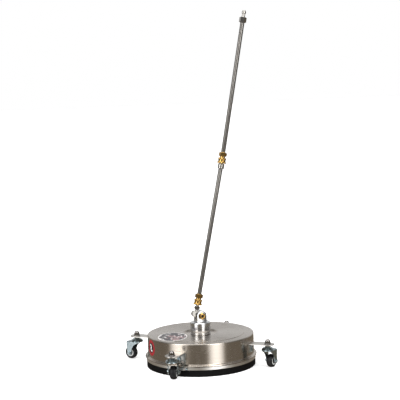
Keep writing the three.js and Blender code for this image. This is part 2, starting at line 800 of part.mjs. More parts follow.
for (const { name, angle, heading } of casters) {
  const mount = new THREE.Group();
  mount.rotation.z = THREE.MathUtils.degToRad(angle);
  machine.add(mount);
  place(mount, `caster_${name}_bracket`, bracket(), stainless);
  place(mount, `caster_${name}_bolt_upper`, bracketBolt(bracketBoltDepths[0]), zinc);
  place(mount, `caster_${name}_bolt_lower`, bracketBolt(bracketBoltDepths[1]), zinc);

  const swivel = new THREE.Group();
  swivel.position.x = casterRadius;
  swivel.rotation.z = THREE.MathUtils.degToRad(heading - angle);
  mount.add(swivel);
  place(swivel, `caster_${name}_stem`, casterStem(), zinc);
  place(swivel, `caster_${name}_cap_nut`, capNut(), nickel);
  place(swivel, `caster_${name}_fork`, fork(), zinc);

  const wheel = new THREE.Group();
  wheel.position.set(casterTrail, 0, wheelRadius);
  swivel.add(wheel);
  place(wheel, `caster_${name}_axle`, axle(), zinc);
  place(wheel, `caster_${name}_wheel_hub`, wheelHub(), greyPlastic);
  place(wheel, `caster_${name}_tyre`, tyre(), blackRubber);
}

export default machine;
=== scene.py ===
# %% [markdown]
# # A rotary surface cleaner, made piece by piece
#
# The machine is a round stainless deck on four swivel casters. A lance stands in a pivot on top of it,
# and a brush skirt closes it against the floor. This lesson makes the skin of every piece around a fixed
# frame of simple solids. Most pieces were made on a lathe, by bending sheet, or from hexagon bar, so a
# few shape helpers are enough: one turns a profile, one bends a sheet, and Blender's boolean modifier
# drills holes. Metals are told apart by the marks that their making leaves, so each finish has its own
# grain.

# %% Load the frame
import json
import math
import random

import bmesh
import bpy
from mathutils import Matrix, Vector


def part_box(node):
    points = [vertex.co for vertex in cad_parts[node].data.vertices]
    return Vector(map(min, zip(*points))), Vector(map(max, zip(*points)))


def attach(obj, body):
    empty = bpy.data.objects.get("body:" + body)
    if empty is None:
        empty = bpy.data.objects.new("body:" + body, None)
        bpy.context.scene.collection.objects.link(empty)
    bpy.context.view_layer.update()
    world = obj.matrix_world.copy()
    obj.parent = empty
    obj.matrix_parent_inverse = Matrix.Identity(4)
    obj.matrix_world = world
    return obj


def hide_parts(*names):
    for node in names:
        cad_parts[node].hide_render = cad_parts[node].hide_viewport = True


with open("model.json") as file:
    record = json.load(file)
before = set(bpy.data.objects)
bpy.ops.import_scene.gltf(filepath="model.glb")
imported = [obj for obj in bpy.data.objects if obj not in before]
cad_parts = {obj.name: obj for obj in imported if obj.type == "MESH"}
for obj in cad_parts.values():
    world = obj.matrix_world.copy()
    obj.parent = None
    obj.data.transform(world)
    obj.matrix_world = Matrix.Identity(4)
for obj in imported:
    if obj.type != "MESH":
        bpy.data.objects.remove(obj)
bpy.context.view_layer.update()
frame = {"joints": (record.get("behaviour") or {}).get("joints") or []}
joints = {joint["name"]: joint for joint in frame["joints"]}

# %% [markdown]
# ## Sizes
#
# The frame tells where things are: a solid's box gives its radius and heights, and a joint gives the axis
# of what turns or slides. Only the sizes that no box shows are named here, in millimetres times `mm`.

# %% Sizes from the frame
mm = 0.001


def height_of(node):
    low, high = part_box(node)
    return low.z, high.z


def radius_of(node):
    low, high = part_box(node)
    return (high.x - low.x) / 2


pivot = Vector(joints["wand_tilt"]["pos_m"])
lower_axis = Vector(joints["lower_lance_turn"]["axis"])
upper_axis = Vector(joints["upper_lance_turn"]["axis"])
knee = Vector(joints["upper_lance_turn"]["pos_m"])
deck_low, field_top = height_of("deck_shell")
lip_radius = radius_of("deck_shell")
lip_projection = 10.2 * mm
wall_radius = lip_radius - lip_projection
step_rise = 1.5 * mm
rim_top = field_top - step_rise
print(f"deck: {2 * wall_radius / mm:.0f} mm wide, rim {rim_top / mm:.0f} mm above the floor")

# %% [markdown]
# ## Where the camera and the light stand
#
# The camera is a long lens a few paces away, a little above the deck and turned a touch on its axis. Two
# tall soft panels stand to the left and right of it, and everything else round the machine is dim.
# Polished cylinders then show two bright upright bands, which is what makes turned metal read as round.
# The panels are painted into the world by direction, so they are seen in reflections and light the
# machine from all views. A low band of light behind the machine lies above the horizon only, so a level
# surface shows it and the outline of an upright one stays dark. The dim part below the horizon is warm,
# as a wooden floor would be.

# %% Camera
CAMERA_AZIMUTH = math.radians(-21.9)
CAMERA_RISE = math.radians(12.45)
CAMERA_DISTANCE = 4.5
CAMERA_LENS = 105.1
CAMERA_DROP = math.radians(5.98)
CAMERA_TURN = math.radians(-0.157)
CAMERA_ROLL = math.radians(1.6)


def make_camera():
    target = Vector((0, 0, rim_top))
    across = Vector((math.cos(CAMERA_AZIMUTH), math.sin(CAMERA_AZIMUTH), 0))
    ahead = Vector((-across.y, across.x, 0))
    back = math.cos(CAMERA_RISE) * ahead - math.sin(CAMERA_RISE) * Vector((0, 0, 1))
    place = target - CAMERA_DISTANCE * back
    look = math.cos(CAMERA_DROP) * ahead - math.sin(CAMERA_DROP) * Vector((0, 0, 1))
    look = Matrix.Rotation(CAMERA_TURN, 3, "Z") @ look
    right = look.cross(Vector((0, 0, 1))).normalized()
    up = right.cross(look)
    spin = Matrix.Rotation(CAMERA_ROLL, 3, look)
    right, up = spin @ right, spin @ up
    camera = bpy.data.objects.new("camera", bpy.data.cameras.new("camera"))
    camera.data.lens = CAMERA_LENS
    camera.data.sensor_width = 36
    camera.matrix_world = Matrix.Translation(place) @ Matrix((right, up, -look)).transposed().to_4x4()
    bpy.context.scene.collection.objects.link(camera)
    bpy.context.scene.camera = camera
    return camera


camera = make_camera()
bpy.context.scene.view_settings.view_transform = "Standard"
print("camera at", [round(value, 3) for value in camera.matrix_world.translation])

# %% [markdown]
# ## Shader sums written as Python
#
# A finish is easier to read as a sum than as a web of nodes. `Wire` wraps one socket, so that `0.3 +
# grain * 0.1` adds the two Math nodes itself. `Recipe` holds one node tree. Its `node` method makes any
# other node: it takes the node's type, then its settings, then the values or wires of its inputs.

# %% Wires and recipes
class Wire:
    def __init__(self, recipe, socket):
        self.recipe = recipe
        self.socket = socket

    def math(self, operation, *values):
        inputs = dict(enumerate(values))
        return self.recipe.node("ShaderNodeMath", {"operation": operation}, inputs)

    def __add__(self, other):
        return self.math("ADD", self, other)

    def __radd__(self, other):
        return self.math("ADD", other, self)

    def __sub__(self, other):
        return self.math("SUBTRACT", self, other)

    def __rsub__(self, other):
        return self.math("SUBTRACT", other, self)

    def __mul__(self, other):
        return self.math("MULTIPLY", self, other)

    def __rmul__(self, other):
        return self.math("MULTIPLY", other, self)

    def __truediv__(self, other):
        return self.math("DIVIDE", self, other)

    def above(self, edge, soft):
        """0 below the edge, 1 above it, with a soft step between."""
        inputs = {"Value": self, "From Min": edge - soft, "From Max": edge + soft}
        return self.recipe.node("ShaderNodeMapRange", {"interpolation_type": "SMOOTHSTEP"}, inputs)


class Recipe:
    def __init__(self, tree):
        self.tree = tree

    def node(self, kind, settings=None, inputs=None, output=0):
        made = self.tree.nodes.new(kind)
        for name, value in (settings or {}).items():
            setattr(made, name, value)
        for name, value in (inputs or {}).items():
            self.feed(made.inputs[name], value)
        return Wire(self, made.outputs[output])

    def feed(self, socket, value):
        if isinstance(value, Wire):
            self.tree.links.new(value.socket, socket)
        else:
            socket.default_value = value

    def vector(self, x, y, z):
        return self.node("ShaderNodeCombineXYZ", None, {"X": x, "Y": y, "Z": z})

    def noise(self, where, scale, detail=2.0):
        return self.node("ShaderNodeTexNoise", None, {"Vector": where, "Scale": scale, "Detail": detail})

    def mix(self, factor, first, second):
        inputs = {0: factor, 6: (*first, 1.0) if isinstance(first, tuple) else first}
        inputs[7] = (*second, 1.0) if isinstance(second, tuple) else second
        return self.node("ShaderNodeMix", {"data_type": "RGBA"}, inputs, output=2)


class Finish(Recipe):
    """A material with one Principled shader and the position on the piece split up for use in sums."""

    def __init__(self, name, constants):
        self.material = bpy.data.materials.new(name)
        self.material.use_nodes = True
        super().__init__(self.material.node_tree)
        self.shader = self.tree.nodes["Principled BSDF"]
        self.set(constants)
        self.place = self.node("ShaderNodeTexCoord", output="Object")
        parts = self.node("ShaderNodeSeparateXYZ", None, {0: self.place})
        self.x = parts
        self.y = Wire(self, parts.socket.node.outputs[1])
        self.z = Wire(self, parts.socket.node.outputs[2])

    def set(self, inputs):
        for socket, value in inputs.items():
            self.feed(self.shader.inputs[socket], value)
        return self.material

    def bump(self, height, strength, distance):
        inputs = {"Height": height, "Strength": strength, "Distance": distance}
        return self.node("ShaderNodeBump", None, inputs)

    def radius(self):
        squares = self.x * self.x + self.y * self.y
        return squares.math("SQRT", squares)


print("shader helpers:", Wire.__name__, Recipe.__name__, Finish.__name__)

# %% Studio
PANEL_LEFT = CAMERA_AZIMUTH + math.radians(-50)
PANEL_RIGHT = CAMERA_AZIMUTH + math.radians(33)


def make_world():
    world = bpy.data.worlds.new("studio")
    bpy.context.scene.world = world
    world.use_nodes = True
    recipe = Recipe(world.node_tree)
    background = world.node_tree.nodes["Background"]
    direction = recipe.node("ShaderNodeTexCoord", output="Generated")

    def panel(azimuth, half_width, soft):
        toward = (math.sin(azimuth), -math.cos(azimuth), 0)
        flat = recipe.node("ShaderNodeVectorMath", {"operation": "MULTIPLY"}, {0: direction, 1: (1, 1, 0)})
        flat = recipe.node("ShaderNodeVectorMath", {"operation": "NORMALIZE"}, {0: flat})
        facing = recipe.node("ShaderNodeVectorMath", {"operation": "DOT_PRODUCT"},
                             {0: flat, 1: toward}, "Value")
        edge = math.cos(math.radians(half_width))
        return facing.above(edge, soft)

    height = recipe.node("ShaderNodeSeparateXYZ", None, {0: direction}, output="Z")
    sides = panel(PANEL_LEFT, 15, 0.05) * 2.1 + panel(PANEL_RIGHT, 13, 0.04) * 2.5
    low_sky = height.above(0.05, 0.05) * (1.0 - height.above(0.55, 0.15))
    behind = panel(CAMERA_AZIMUTH + math.pi, 62, 0.25) * low_sky * 0.56
    overhead = height.above(0.8, 0.2) * 0.9
    light = 0.26 + sides + behind + overhead
    seen = recipe.node("ShaderNodeLightPath", output="Is Camera Ray")
    strength = light + seen * (1.0 - light)
    recipe.feed(background.inputs["Strength"], strength)
    dim_floor = (1.0 - height.above(0.0, 0.08)) * (1.0 - sides.above(0.5, 0.4)) * (1.0 - seen)
    recipe.feed(background.inputs["Color"], recipe.mix(dim_floor, (1.0, 1.0, 1.0), (1.0, 0.85, 0.66)))
    return world


def make_floor():
    mesh = bpy.data.meshes.new("floor")
    reach = 40
    corners = [(-reach, -reach, 0), (reach, -reach, 0), (reach, reach, 0), (-reach, reach, 0)]
    mesh.from_pydata(corners, [], [(0, 1, 2, 3)])
    floor = bpy.data.objects.new("floor", mesh)
    bpy.context.scene.collection.objects.link(floor)
    paper = Finish("paper_floor", {"Roughness": 0.9, "Specular IOR Level": 0.1, "Emission Strength": 0.42})
    cloud = paper.noise(paper.place, 0.6)
    tone = paper.mix(cloud, (0.86, 0.86, 0.86), (0.9, 0.9, 0.9))
    mesh.materials.append(paper.set({"Base Color": tone, "Emission Color": (1.0, 1.0, 1.0, 1.0)}))
    floor.visible_glossy = False
    return floor


make_world()
floor = make_floor()


def soft_light(name, azimuth, rise, distance, size, power):
    lamp = bpy.data.objects.new(name, bpy.data.lights.new(name, "AREA"))
    lamp.data.shape = "RECTANGLE"
    lamp.data.size = size[0]
    lamp.data.size_y = size[1]
    lamp.data.energy = power
    toward = Vector((math.sin(azimuth) * math.cos(rise), -math.cos(azimuth) * math.cos(rise), math.sin(rise)))
    lamp.location = toward * distance
    lamp.rotation_mode = "QUATERNION"
    lamp.rotation_quaternion = toward.to_track_quat("Z", "Y")
    bpy.context.scene.collection.objects.link(lamp)
    return lamp


soft_light("light_left", PANEL_LEFT, math.radians(32), 3.2, (1.4, 2.4), 45)
soft_light("light_right", PANEL_RIGHT, math.radians(36), 3.2, (1.2, 2.2), 40)
soft_light("light_above", CAMERA_AZIMUTH, math.radians(84), 3.0, (2.6, 2.6), 40)
print("studio: two panels, a top light and a pale floor")

# %% [markdown]
# ## Shape helpers
#
# A machinist's drawing gives a profile with sharp corners, and the shop breaks every edge. `softened`
# does the same to a list of points, by putting a short curve in place of each corner. `turned` spins a
# profile round Z. The profile may also be a function of the angle, which gives hexagons, knurls and
# bristles with the same code.

# %% Profiles
def softened(points, radius, closed=True, steps=3):
    """Puts a curve in place of each corner. A point's own third number stands in for the common radius.
    An open profile keeps its two ends."""
    count = len(points)
    result = []
    for i, point in enumerate(points):
        here = Vector(point[:2])
        if not closed and i in (0, count - 1):
            result.append(here)
            continue
        before = Vector(points[i - 1][:2]) - here
        after = Vector(points[(i + 1) % count][:2]) - here
        wanted = point[2] if len(point) > 2 else radius
        reach = min(wanted, before.length * 0.45, after.length * 0.45)
        start = here + before.normalized() * reach
        end = here + after.normalized() * reach
        for k in range(steps + 1):
            t = k / steps
            result.append(start * (1 - t) ** 2 + here * 2 * t * (1 - t) + end * t * t)
    return [(p.x, p.y) for p in result]


def piece_from(name, vertices, faces, sharp=30):
    """A new object from lists, with doubled points merged, faces turned outwards and soft shading."""
    mesh = bpy.data.meshes.new(name)
    mesh.from_pydata(vertices, [], faces)
    work = bmesh.new()
    work.from_mesh(mesh)
    bmesh.ops.remove_doubles(work, verts=work.verts, dist=1e-7)
    bmesh.ops.dissolve_degenerate(work, edges=work.edges, dist=1e-7)
    bmesh.ops.recalc_face_normals(work, faces=work.faces)
    work.to_mesh(mesh)
    work.free()
    mesh.shade_smooth()
    mesh.set_sharp_from_angle(angle=math.radians(sharp))
    piece = bpy.data.objects.new(name, mesh)
    bpy.context.scene.collection.objects.link(piece)
    return piece


def turned(name, profile, segments=96, closed=True, sharp=30):
    """Spins (radius, height) points round Z. `profile` is a list, or a function of the angle."""
    vertices = []
    for s in range(segments):
        angle = 2 * math.pi * s / segments
        points = profile(angle) if callable(profile) else profile
        vertices += [(r * math.cos(angle), r * math.sin(angle), z) for r, z in points]
    rows = len(points)
    faces = []
    for s in range(segments):
        here, there = s * rows, (s + 1) % segments * rows
        for k in range(rows if closed else rows - 1):
            k2 = (k + 1) % rows
            faces.append((here + k, there + k, there + k2, here + k2))
    return piece_from(name, vertices, faces, sharp)


HEX_SEGMENTS = 72
HEX_SHARP = 18


def hex_rows(angle, flats, low, high):
    """The outside of a hexagon at one angle, its corners chamfered by a cone as a turned nut's are."""
    apothem = flats / 2
    flat_radius = apothem * 0.95
    edge = apothem / math.cos((angle + math.pi / 6) % (math.pi / 3) - math.pi / 6)
    drop = (edge - flat_radius) * 0.55
    return [(flat_radius, low), (edge, low + drop), (edge, high - drop), (flat_radius, high)]


def hexagon(name, flats, low, high, bore):
    """A plain hexagon nut or head."""
    def profile(angle):
        return [(bore, low), *hex_rows(angle, flats, low, high), (bore, high)]

    return turned(name, profile, HEX_SEGMENTS, sharp=HEX_SHARP)


print("hexagons are turned in", HEX_SEGMENTS, "steps")

# %% Cutting and joining
def apply_modifiers(piece):
    graph = bpy.context.evaluated_depsgraph_get()
    mesh = bpy.data.meshes.new_from_object(piece.evaluated_get(graph))
    piece.modifiers.clear()
    piece.data = mesh
    return piece


def boolean(piece, tool, operation):
    step = piece.modifiers.new(operation.lower(), "BOOLEAN")
    step.operation = operation
    step.solver = "EXACT"
    step.object = tool
    apply_modifiers(piece)
    bpy.data.objects.remove(tool)
    return piece


def cut(piece, *tools):
    for tool in tools:
        boolean(piece, tool, "DIFFERENCE")
    return piece


def shifted(piece, matrix):
    piece.data.transform(matrix)
    return piece


def broken_edges(piece, width, angle=35):
    """Breaks the sharp edges with a small round, as a file or a tumbler does."""
    step = piece.modifiers.new("edges", "BEVEL")
    step.width = width
    step.segments = 3
    step.limit_method = "ANGLE"
    step.angle_limit = math.radians(angle)
    step.harden_normals = False
    apply_modifiers(piece)
    piece.data.shade_smooth()
    piece.data.set_sharp_from_angle(angle=math.radians(45))
    return piece


def plate(name, outline, low, high):
    """A flat outline given some thickness along Z."""
    count = len(outline)
    vertices = [(x, y, low) for x, y in outline] + [(x, y, high) for x, y in outline]
    faces = [tuple(reversed(range(count))), tuple(range(count, 2 * count))]
    faces += [(i, (i + 1) % count, (i + 1) % count + count, i + count) for i in range(count)]
    return piece_from(name, vertices, faces)


def drill(radius, low, high, segments=48):
    """A plain round tool for cutting a hole, from low to high along Z."""
    return turned("drill", [(0, low), (radius, low), (radius, high), (0, high)], segments, closed=False)


def ring_profile(inner, outer, low, high):
    return [(inner, low), (outer, low), (outer, high), (inner, high)]


def put(piece, finish, where, body, slot, *nodes):
    """Gives a piece its finish and place, and hands it to the frame."""
    piece.data.materials.clear()
    piece.data.materials.append(finish)
    piece.matrix_world = where
    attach(piece, body)
    if nodes:
        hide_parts(*nodes)
    return piece


ABOUT_Y = Matrix.Rotation(-math.pi / 2, 4, "X")
ABOUT_X = Matrix.Rotation(math.pi / 2, 4, "Y")
HOME = Matrix.Identity(4)
print("shape helpers ready")

# %% [markdown]
# ## Finishes
#
# The deck is brushed sheet: an abrasive pad held against it while it turned left fine rings, and those
# spread a reflection across the grain, which the shader's anisotropy gives. The lance is drawn tube, so
# its marks run along it. Couplers and the swivel come off a lathe with very fine rings. Plated parts have
# no grain but a slight cloudiness. Each finish also has dull smears where hands and water have been.

# %% Metals
def ring_grain(finish, pitch, drift=3.0, detail=3.0):
    """Noise stretched into rings round Z, `pitch` apart. It has no seam, because it uses the direction."""
    radius = finish.radius()
    rise = (radius + finish.z) * (1.0 / pitch)
    where = finish.vector(finish.x / radius * drift, finish.y / radius * drift, rise)
    return finish.noise(where, 1.0, detail)


def brushed_sheet():
    finish = Finish("brushed_stainless", {"Metallic": 1.0, "Anisotropic": 0.75, "Anisotropic Rotation": 0.25})
    stroke = ring_grain(finish, 0.45 * mm, 5.0, 4.0)
    band = ring_grain(finish, 6 * mm, 1.2, 1.0)
    cloud = finish.noise(finish.place, 8)
    smear = finish.noise(finish.place, 26).above(0.6, 0.1)
    shade = stroke * 0.4 + cloud * 0.3 + band * 0.3
    # Painted light: the wall gets a lighter tone than the top of the same sheet, and the top a darker one,
    # for how light falls on upright and level faces.
    top = finish.mix(shade, (0.32, 0.288, 0.255), (0.43, 0.393, 0.352))
    wall = finish.mix(shade, (0.36, 0.322, 0.28), (0.49, 0.445, 0.395))
    tone = finish.mix(finish.z.above(rim_top - 3 * mm, 3 * mm), wall, top)
    roughness = 0.16 + stroke * 0.12 + cloud * 0.05 + smear * 0.05
    return finish.set({"Base Color": tone, "Roughness": roughness,
                       "Normal": finish.bump(stroke, 0.12, 0.05 * mm)})


def brushed_strap(name, dark, light, rough):
    finish = Finish(name, {"Metallic": 1.0, "Anisotropic": 0.5, "Anisotropic Rotation": 0.25})
    stroke = ring_grain(finish, 0.4 * mm, 9.0)
    cloud = finish.noise(finish.place, 40)
    tone = finish.mix(stroke * 0.6 + cloud * 0.4, dark, light)
    return finish.set({"Base Color": tone, "Roughness": rough + stroke * 0.12 + cloud * 0.06,
                       "Normal": finish.bump(stroke, 0.15, 0.04 * mm)})


def drawn_tube():
    finish = Finish("drawn_steel", {"Metallic": 1.0, "Anisotropic": 0.3})
    along = finish.noise(finish.vector(finish.x * 1400, finish.y * 1400, finish.z * 9), 1.0, 3.0)
    cloud = finish.noise(finish.place, 18)
    stain = finish.noise(finish.vector(finish.x * 30, finish.y * 30, finish.z * 14), 1.0).above(0.62, 0.1)
    tone = finish.mix(along * 0.5 + cloud * 0.5, (0.08, 0.075, 0.07), (0.18, 0.17, 0.157))
    tone = finish.mix(stain * 0.35, tone, (0.06, 0.055, 0.05))
    return finish.set({"Base Color": tone, "Roughness": 0.22 + along * 0.14 + stain * 0.08,
                       "Normal": finish.bump(along, 0.2, 0.04 * mm)})


def lathe_bright(name, dark, light, rough, pitch=0.25 * mm, grain=0.08):
    finish = Finish(name, {"Metallic": 1.0, "Anisotropic": 0.3, "Anisotropic Rotation": 0.25})
    rings = ring_grain(finish, pitch, 1.5, 2.0)
    cloud = finish.noise(finish.place, 90)
    tarnish = finish.noise(finish.place, 45, 4.0).above(0.58, 0.14)
    tone = finish.mix(rings * 0.4 + cloud * 0.6, dark, light)
    tone = finish.mix(tarnish * 0.3, tone, dark)
    return finish.set({"Base Color": tone, "Roughness": rough + rings * grain + tarnish * 0.08,
                       "Normal": finish.bump(rings, 0.1, 0.03 * mm)})


def plated(name, dark, light, rough):
    finish = Finish(name, {"Metallic": 1.0})
    cloud = finish.noise(finish.place, 120, 3.0)
    pock = finish.noise(finish.place, 900, 2.0)
    rub = finish.noise(finish.place, 60, 4.0).above(0.6, 0.12)
    tone = finish.mix(cloud, dark, light)
    return finish.set({"Base Color": tone, "Roughness": rough + cloud * 0.1 + rub * 0.12,
                       "Normal": finish.bump(pock, 0.06, 0.05 * mm)})


print("metal recipes: brushed sheet, strap, drawn tube, lathe work and plating")

# %% Rubber, bristle and plastic
def matt_black(name, dark, light, rough, speck, relief):
    finish = Finish(name, {"Metallic": 0.0, "Specular IOR Level": 0.25})
    # Pale patches of dust.
    paler_mask = finish.noise(finish.place, 70, 4.0).above(0.55, 0.2)
    grain = finish.noise(finish.place, speck, 3.0)
    tone = finish.mix(paler_mask * 0.5 + grain * 0.5, dark, light)
    return finish.set({"Base Color": tone, "Roughness": rough + grain * 0.2,
                       "Normal": finish.bump(grain, relief, 0.15 * mm)})


def bristle_black():
    finish = Finish("nylon_bristle", {"Metallic": 0.0, "Specular IOR Level": 0.1})
    radius = finish.radius()
    hairs = 620
    where = finish.vector(finish.x / radius * hairs, finish.y / radius * hairs, finish.z * 25)
    strand = finish.noise(where, 1.0, 2.0)
    # Paler towards the tips at the floor, by height alone.
    paler_mask = (1.0 - finish.z * 40) * 0.25
    tone = finish.mix(strand * 0.7 + paler_mask * 0.3, (0.0008, 0.0008, 0.0008), (0.004, 0.0039, 0.0038))
    return finish.set({"Base Color": tone, "Roughness": 0.55 + strand * 0.3,
                       "Normal": finish.bump(strand, 0.4, 0.3 * mm)})


def moulded_grey():
    finish = Finish("moulded_grey", {"Metallic": 0.0, "Specular IOR Level": 0.5})
    cloud = finish.noise(finish.place, 60)
    skin = finish.noise(finish.place, 1500, 2.0)
    scuff = finish.noise(finish.place, 90, 4.0).above(0.6, 0.12)
    tone = finish.mix(cloud, (0.5, 0.51, 0.5), (0.62, 0.63, 0.61))
    tone = finish.mix(scuff * 0.4, tone, (0.3, 0.3, 0.29))
    return finish.set({"Base Color": tone, "Roughness": 0.35 + cloud * 0.15 + scuff * 0.15,
                       "Normal": finish.bump(skin, 0.08, 0.05 * mm)})


STAINLESS = brushed_sheet()
STRAP = brushed_strap("strap_stainless", (0.55, 0.53, 0.5), (0.82, 0.8, 0.77), 0.3)
BRACKET = brushed_strap("bracket_stainless", (0.42, 0.405, 0.38), (0.64, 0.62, 0.585), 0.24)
TUBE = drawn_tube()
ALUMINIUM = lathe_bright("turned_aluminium", (0.46, 0.465, 0.47), (0.72, 0.725, 0.73), 0.12)
BRASS = lathe_bright("turned_brass", (0.22, 0.12, 0.03), (0.62, 0.4, 0.13), 0.07)
NICKEL = lathe_bright("bright_nickel", (0.19, 0.18, 0.165), (0.42, 0.405, 0.38), 0.09)
CHROME = plated("bright_chrome", (0.17, 0.16, 0.15), (0.3, 0.285, 0.275), 0.05)
ZINC = plated("zinc_plate", (0.2, 0.24, 0.255), (0.42, 0.48, 0.5), 0.12)
RUBBER = matt_black("tyre_rubber", (0.0015, 0.0015, 0.002), (0.009, 0.009, 0.0095), 0.4, 700, 0.3)
BRISTLE = bristle_black()
GREY = moulded_grey()
print("finishes:", len([m for m in bpy.data.materials if m.use_nodes]))

# %% [markdown]
# ## The deck
#
# A deck like this is spun: a disc is pressed over a turning former until it takes the former's profile.
# It has a raised field that stiffens the top, a shallow well that the swivel stands in, a rounded rim, a
# straight wall, and a rolled lip with a neck under it. One profile turned round Z gives it all, two
# millimetres thick.

# %% Deck shell
DECK_SEGMENTS = 224
SHEET = 2 * mm
FIELD_RADIUS = 166 * mm
STEP_RUN = 3 * mm
WELL_RADIUS = 66 * mm
WELL_RUN = 7 * mm
WELL_DEPTH = 6 * mm
well_floor = field_top - WELL_DEPTH
HUB_HOLE = 24.3 * mm
NECK_RADIUS = wall_radius + 1 * mm
LIP_DROP = 80.5 * mm
lip_height = rim_top - LIP_DROP


def deck_height(radius):
    """Height of the deck's top surface at a radius outside the well."""
    t = min(1, max(0, (FIELD_RADIUS + STEP_RUN - radius) / STEP_RUN))
    return rim_top + step_rise * t * t * (3 - 2 * t)


def deck_shell():
    under = well_floor - SHEET
    outline = [
        (wall_radius - SHEET, deck_low), (NECK_RADIUS, deck_low),
        (NECK_RADIUS, lip_height - 4.6 * mm, 1.5 * mm),
        (lip_radius - 1.4 * mm, lip_height - 3.4 * mm, 1.6 * mm),
        (lip_radius, lip_height - 0.4 * mm, 1.8 * mm),
        (lip_radius - 1.6 * mm, lip_height + 2.4 * mm, 1.6 * mm), (wall_radius, lip_height + 4 * mm, 2 * mm),
        (wall_radius, rim_top, 4 * mm),
        (FIELD_RADIUS + STEP_RUN, rim_top, 2 * mm), (FIELD_RADIUS, rim_top + step_rise, 7 * mm),
        (WELL_RADIUS + 0.8 * mm, field_top, 8 * mm), (WELL_RADIUS - WELL_RUN, well_floor, 3 * mm),
        (HUB_HOLE, well_floor), (HUB_HOLE, under),
        (WELL_RADIUS - WELL_RUN, under, 3 * mm), (WELL_RADIUS, field_top - SHEET, 1.5 * mm),
        (FIELD_RADIUS, field_top - SHEET, 2 * mm), (FIELD_RADIUS + STEP_RUN, rim_top - SHEET, 2 * mm),
        (wall_radius - SHEET, rim_top - SHEET, 3 * mm),
    ]
    shell = turned("deck_skin", softened(outline, 0.4 * mm, steps=5), DECK_SEGMENTS, sharp=60)
    return put(shell, STAINLESS, HOME, "deck", "stainless", "deck_shell")


deck = deck_shell()
print("deck shell:", len(deck.data.polygons), "faces")

# %% [markdown]
# ## Brush skirt and band
#
# The skirt is a strip of nylon bristle bent into a ring. Thousands of single hairs would be slow, so the
# ring is cut into many narrow columns, each pushed in or out and ended at its own height. Light then
# breaks up on it as it does on bristle. A worm-drive band clamps the strip to the neck.

# %% Brush skirt
def brush_skirt():
    low, high = height_of("brush_skirt")
    outer = radius_of("brush_skirt")
    holder, depth = 10 * mm, 7.6 * mm
    columns = 1080
    dice = random.Random(11)
    reach = [dice.uniform(0, 0.9) * mm for _ in range(columns)]
    tip = [dice.uniform(0, 1.3) * mm for _ in range(columns)]

    def profile(angle):
        i = round(angle / (2 * math.pi) * columns) % columns
        push, end = reach[i], tip[i]
        inner = outer - depth
        return [
            (inner + push, low + end), (outer - depth / 2 + push * 0.4, low + end * 0.4),
            (outer - push, low + end),
            (outer - push * 0.8, low + 9 * mm), (outer - push * 0.5, high - holder - 1 * mm),
            (outer - 0.5 * mm, high - holder), (outer, high - holder + 0.6 * mm), (outer, high),
            (NECK_RADIUS + 0.3 * mm, high), (NECK_RADIUS + 0.3 * mm, deck_low - 0.3 * mm),
            (inner + 0.6 * mm, deck_low - 0.3 * mm), (inner + push * 0.6, low + 9 * mm),
        ]

    skirt = turned("brush_ring", profile, columns, sharp=50)
    return put(skirt, BRISTLE, HOME, "deck", "bristle", "brush_skirt")


print("brush skirt:", round(2 * radius_of("brush_skirt") / mm), "mm across")

# %% Band clamp
BAND_SCREW_ANGLE = math.radians(230)


def band_clamp():
    low, high = height_of("skirt_band")
    inner = radius_of("brush_skirt") + 0.3 * mm
    outer = inner + 0.8 * mm
    middle = (low + high) / 2
    outline = [(inner, low), (outer, low), (outer + 0.1 * mm, middle), (outer, high), (inner, high)]
    strap = turned("band_strap", softened(outline, 0.3 * mm), DECK_SEGMENTS, sharp=60)
    put(strap, STRAP, HOME, "deck", "stainless", "skirt_band")
    there = Matrix.Rotation(BAND_SCREW_ANGLE, 4, "Z") @ Matrix.Translation((outer, 0, middle))
    saddle = [(-0.2 * mm, -8.8 * mm), (3 * mm, -8.8 * mm), (6.6 * mm, -6 * mm), (7.4 * mm, -2 * mm),
              (7.4 * mm, 2 * mm), (6.6 * mm, 6 * mm), (3 * mm, 8.8 * mm), (-0.2 * mm, 8.8 * mm)]
    housing = broken_edges(plate("band_housing", saddle, -4.6 * mm, 4.6 * mm), 0.7 * mm)
    put(housing, STRAP, there, "deck", "stainless")
    along = there @ Matrix.Translation((3.9 * mm, 0, 0)) @ ABOUT_Y
    head = hexagon("band_screw_head", 6.6 * mm, 9 * mm, 15.5 * mm, 1.2 * mm)
    put(head, ZINC, along, "deck", "zinc")
    thread = turned("band_screw", screw_rows(2.9 * mm, 1.1 * mm, -8.5 * mm, 9.2 * mm), 48)
    put(thread, ZINC, along, "deck", "zinc")
    return strap


def screw_rows(radius, pitch, low, high):
    """A rod with rings cut in it at a thread's pitch, which reads as a thread at this size."""
    turns = int((high - low) / pitch)
    step = (high - low) / turns
    rows = [(0, low)]
    for i in range(turns):
        rows += [(radius * 0.84, low + i * step), (radius, low + (i + 0.5) * step)]
    return rows + [(radius * 0.84, high), (0, high)]


skirt = brush_skirt()
band = band_clamp()
print("brush skirt:", len(skirt.data.polygons), "faces")

# %% [markdown]
# ## Rotary swivel
#
# The swivel is the heart of the machine. Its aluminium housing is turned from bar, stands in the deck's
# well and has a threaded neck that goes through the deck to a big eight-sided nut. Two ball bearings and
# a lip seal sit in its bore and carry the hollow shaft, which takes the water down to the spray arm.

# %% Housing, nut and bearings
HOUSING_RADIUS = radius_of("swivel_housing")
NECK_THREAD = 24 * mm
SEAL_BORE = 21.4 * mm
BEARING_OUTER, BEARING_INNER = 21 * mm, 10 * mm
SEAT = well_floor + 0.3 * mm


def thread_rows(radius, low, high, pitch=1.5 * mm, depth=0.8 * mm):
    """The outside of a thread, as rings at its pitch, going up."""
    turns = max(2, round((high - low) / pitch))
    step = (high - low) / turns
    rows = []
    for i in range(turns):
        rows += [(radius - depth, low + i * step), (radius, low + (i + 0.45) * step)]
    return rows + [(radius - depth, high)]


def groove(radius, height, depth, width):
    """A turned groove in an outside wall, going up."""
    floor_low, floor_high = height + depth / 2, height + width - depth / 2
    deep = radius - depth
    return [(radius, height), (deep, floor_low), (deep, floor_high), (radius, height + width)]


